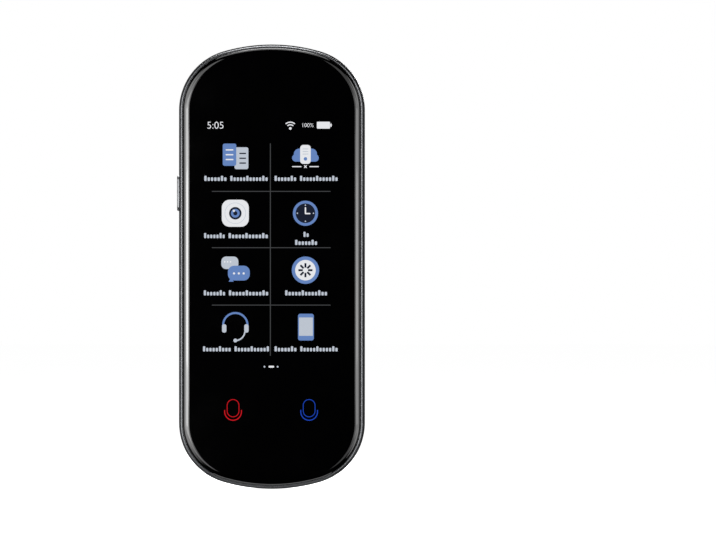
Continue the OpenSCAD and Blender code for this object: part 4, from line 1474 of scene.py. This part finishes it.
def dress_inside(replaced: set[str]) -> None:
    """Gives every CAD node that shows as it is the finish of its slot.

    Args:
        replaced: the nodes that new pieces stand for.
    """
    made: dict[str, bpy.types.Material] = {}
    for part in frame["record"]["subparts"]:
        name, slot = part["node"], part["material_slot"]
        if name in replaced:
            continue
        if slot not in made:
            made[slot] = PLAIN_FINISHES[slot].make(f"{slot}_finish")
        node = frame["nodes"][name]
        node.data.materials.clear()
        node.data.materials.append(made[slot])
        log.info("%s: %s", name, slot)


# ---------------------------------------------------------------- studio


@dataclass(frozen=True)
class Softbox:
    """A soft rectangular light aimed at a point, which the camera doesn't see."""

    name: str
    at: Point
    aim: Point
    size: Step
    radiance: float

    def build(self) -> bpy.types.Object:
        """Adds the light."""
        direction = Vector(self.aim) - Vector(self.at)
        bpy.ops.object.light_add(
            type="AREA", location=self.at, rotation=direction.to_track_quat("-Z", "Y").to_euler()
        )
        lamp = bpy.context.object
        lamp.name = self.name
        lamp.visible_camera = False
        lamp.data.shape = "RECTANGLE"
        lamp.data.size, lamp.data.size_y = self.size
        lamp.data.energy = self.radiance * math.pi * self.size[0] * self.size[1]
        return lamp


PANEL_Y = -0.62
# Columns of boxes in front of the left and of the right side: from where to where each reaches
# across, and then, from the middle outwards, how high each box reaches and its radiance.
Column = tuple[float, float, tuple[Step, ...]]
LEFT_PANELS: tuple[Column, ...] = (
    (0.085, 0.165, ((0.06, 3.4), (0.12, 1.5))),
    (0.165, 0.35, ((0.045, 11.5), (0.08, 7), (0.13, 4), (0.2, 1.3))),
    (0.35, 0.55, ((0.12, 3.1), (0.45, 1.5))),
    (0.55, 1.0, ((0.45, 1.1),)),
)
RIGHT_PANELS: tuple[Column, ...] = (
    (0.115, 0.22, ((0.06, 1.2), (0.12, 0.6))),
    (0.22, 0.44, ((0.045, 4.1), (0.08, 2.8), (0.14, 1.7), (0.22, 0.8))),
    (0.44, 0.66, ((0.12, 1.55), (0.45, 2.2))),
    (0.66, 1.0, ((0.45, 1.3),)),
)


def panels(side: int, name: str, columns: Sequence[Column]) -> list[Softbox]:
    """The boxes in front of one side, alike above and below the device's middle.

    Args:
        side: -1 for the left, 1 for the right.
        name: how their names start.
        columns: their places, sizes and light.

    Returns:
        the boxes, with one on the middle of each column and pairs beyond it.
    """
    rows = [(near, far, low, high, radiance) for near, far, steps in columns
            for low, (high, radiance) in zip((0, *(step[0] for step in steps)), steps)]
    boxes = []
    for i, (near, far, low, high, radiance) in enumerate(rows):
        across = side * (near + far) / 2
        spans = [(low, high), (-high, -low)] if low else [(-high, high)]
        for j, (start, end) in enumerate(spans):
            middle = (start + end) / 2
            boxes.append(Softbox(f"{name}_panel_{i}_{j}", (across, PANEL_Y, middle),
                                 (across, 0, middle), (far - near, end - start), radiance))
    return boxes


@dataclass
class Studio:
    """The camera, the pale floor and background, and the lights."""

    camera_at: Point = (0.02684, -1.555, -0.00104)
    lens: float = 249.5
    sensor: float = 36
    near: float = 0.01
    floor_z: float = -0.0693
    boxes: tuple[Softbox, ...] = (
        Softbox("top_front_box", (0, -0.17, 0.58), (0, 0, 0.05), (0.5, 0.35), 1.5),
        Softbox("top_back_box", (0, 0.15, 0.26), (0, -0.027, 0.167), (0.16, 0.43), 9),
        Softbox("left_wash_box", (-0.565, -0.7, 0.05), (-0.565, 0, 0.05), (0.87, 0.7), 1.4),
        Softbox("right_wash_box", (0.565, -0.7, 0.05), (0.565, 0, 0.05), (0.87, 0.7), 0.6),
        Softbox("left_back_box", (0.5, 0.45, -0.32), (0, 0, 0), (0.5, 0.4), 0.8),
        Softbox("right_back_box", (-0.5, 0.45, -0.32), (0, 0, 0), (0.5, 0.4), 0.8),
        Softbox("left_side_box", (0.6, 0.2, 0.05), (0, 0.2, 0.05), (0.4, 0.6), 0.5),
        Softbox("right_side_box", (-0.6, 0.2, 0.05), (0, 0.2, 0.05), (0.4, 0.6), 0.5),
        Softbox("low_box", (0, -0.06, -0.4), (0, -0.06, -0.06), (0.4, 0.12), 2),
        Softbox("low_back_box", (0, 0.3, -0.365), (0, 0, -0.065), (0.25, 0.14), 1.0),
    )
    panels: list[bpy.types.Object] = field(default_factory=list)

    def build(self) -> None:
        """Sets up the studio."""
        self._camera()
        self._floor()
        self._background()
        for box in self.boxes:
            box.build()
        strips = [*panels(-1, "left", LEFT_PANELS), *panels(1, "right", RIGHT_PANELS)]
        self.panels.extend(strip.build() for strip in strips)

    def shade_from_panels(self, piece: bpy.types.Object) -> None:
        """Keeps the light of the panels in front off one piece."""
        shaded = bpy.data.collections.new("shaded_from_panels")
        shaded.objects.link(piece)
        shaded.collection_objects[0].light_linking.link_state = "EXCLUDE"
        for lamp in self.panels:
            lamp.light_linking.receiver_collection = shaded

    def _camera(self) -> None:
        """The camera, square on the screen, with the device at the left of the picture."""
        bpy.ops.object.camera_add(location=self.camera_at, rotation=(math.pi / 2, 0, 0))
        camera = bpy.context.object
        camera.data.lens = self.lens
        camera.data.sensor_width = self.sensor
        camera.data.clip_start = self.near
        bpy.context.scene.camera = camera

    def _floor(self) -> None:
        """A plain pale floor."""
        clear_selection()
        bpy.ops.mesh.primitive_plane_add(size=6, location=(0, 0, self.floor_z))
        floor = bpy.context.object
        floor.name = "pale_floor"
        bpy.ops.object.transform_apply()
        paint = Paint("pale_floor_finish")
        cloud = paint.noise(40, 2)
        floor.data.materials.append(paint.shade(
            Base_Color=paint.mix(cloud, (0.8, 0.8, 0.8), (0.84, 0.84, 0.84)),
            Roughness=0.9 + 0.05 * cloud, Specular_IOR_Level=0.0,
            Emission_Color=(1, 1, 1), Emission_Strength=0.99,
        ))
        floor.visible_glossy = floor.visible_diffuse = floor.visible_shadow = False

    def _background(self) -> None:
        """A white background that only the camera sees."""
        world = bpy.data.worlds.new("white_room")
        bpy.context.scene.world = world
        world.use_nodes = True
        world.node_tree.nodes["Background"].inputs["Color"].default_value = (1, 1, 1, 1)
        world.cycles_visibility.glossy = world.cycles_visibility.diffuse = False
        bpy.context.scene.view_settings.view_transform = "Standard"


def main() -> None:
    """Builds the studio and every piece, and dresses the parts inside."""
    logging.basicConfig(level=logging.INFO, format="%(message)s")
    studio = Studio()
    studio.build()
    log.info("studio ready")
    shell = RearShell().build()
    place(shell, "housing", "shell_paint", "rear_shell")
    studio.shade_from_panels(shell)
    place(BrightRing().build(), "housing", "polished_ring", "bezel_ring")
    place(CurvedGlass().build(), "housing", "black_glass", "cover_glass")
    LitScreen().build()
    CameraEye().build()
    place(SideKey().build(), "side_key", "key_silver", "side_key")
    dress_inside({"rear_shell", "bezel_ring", "cover_glass", "camera_ring", "camera_window",
                  "lens_barrel", "side_key"})


if __name__ == "__main__":
    main()
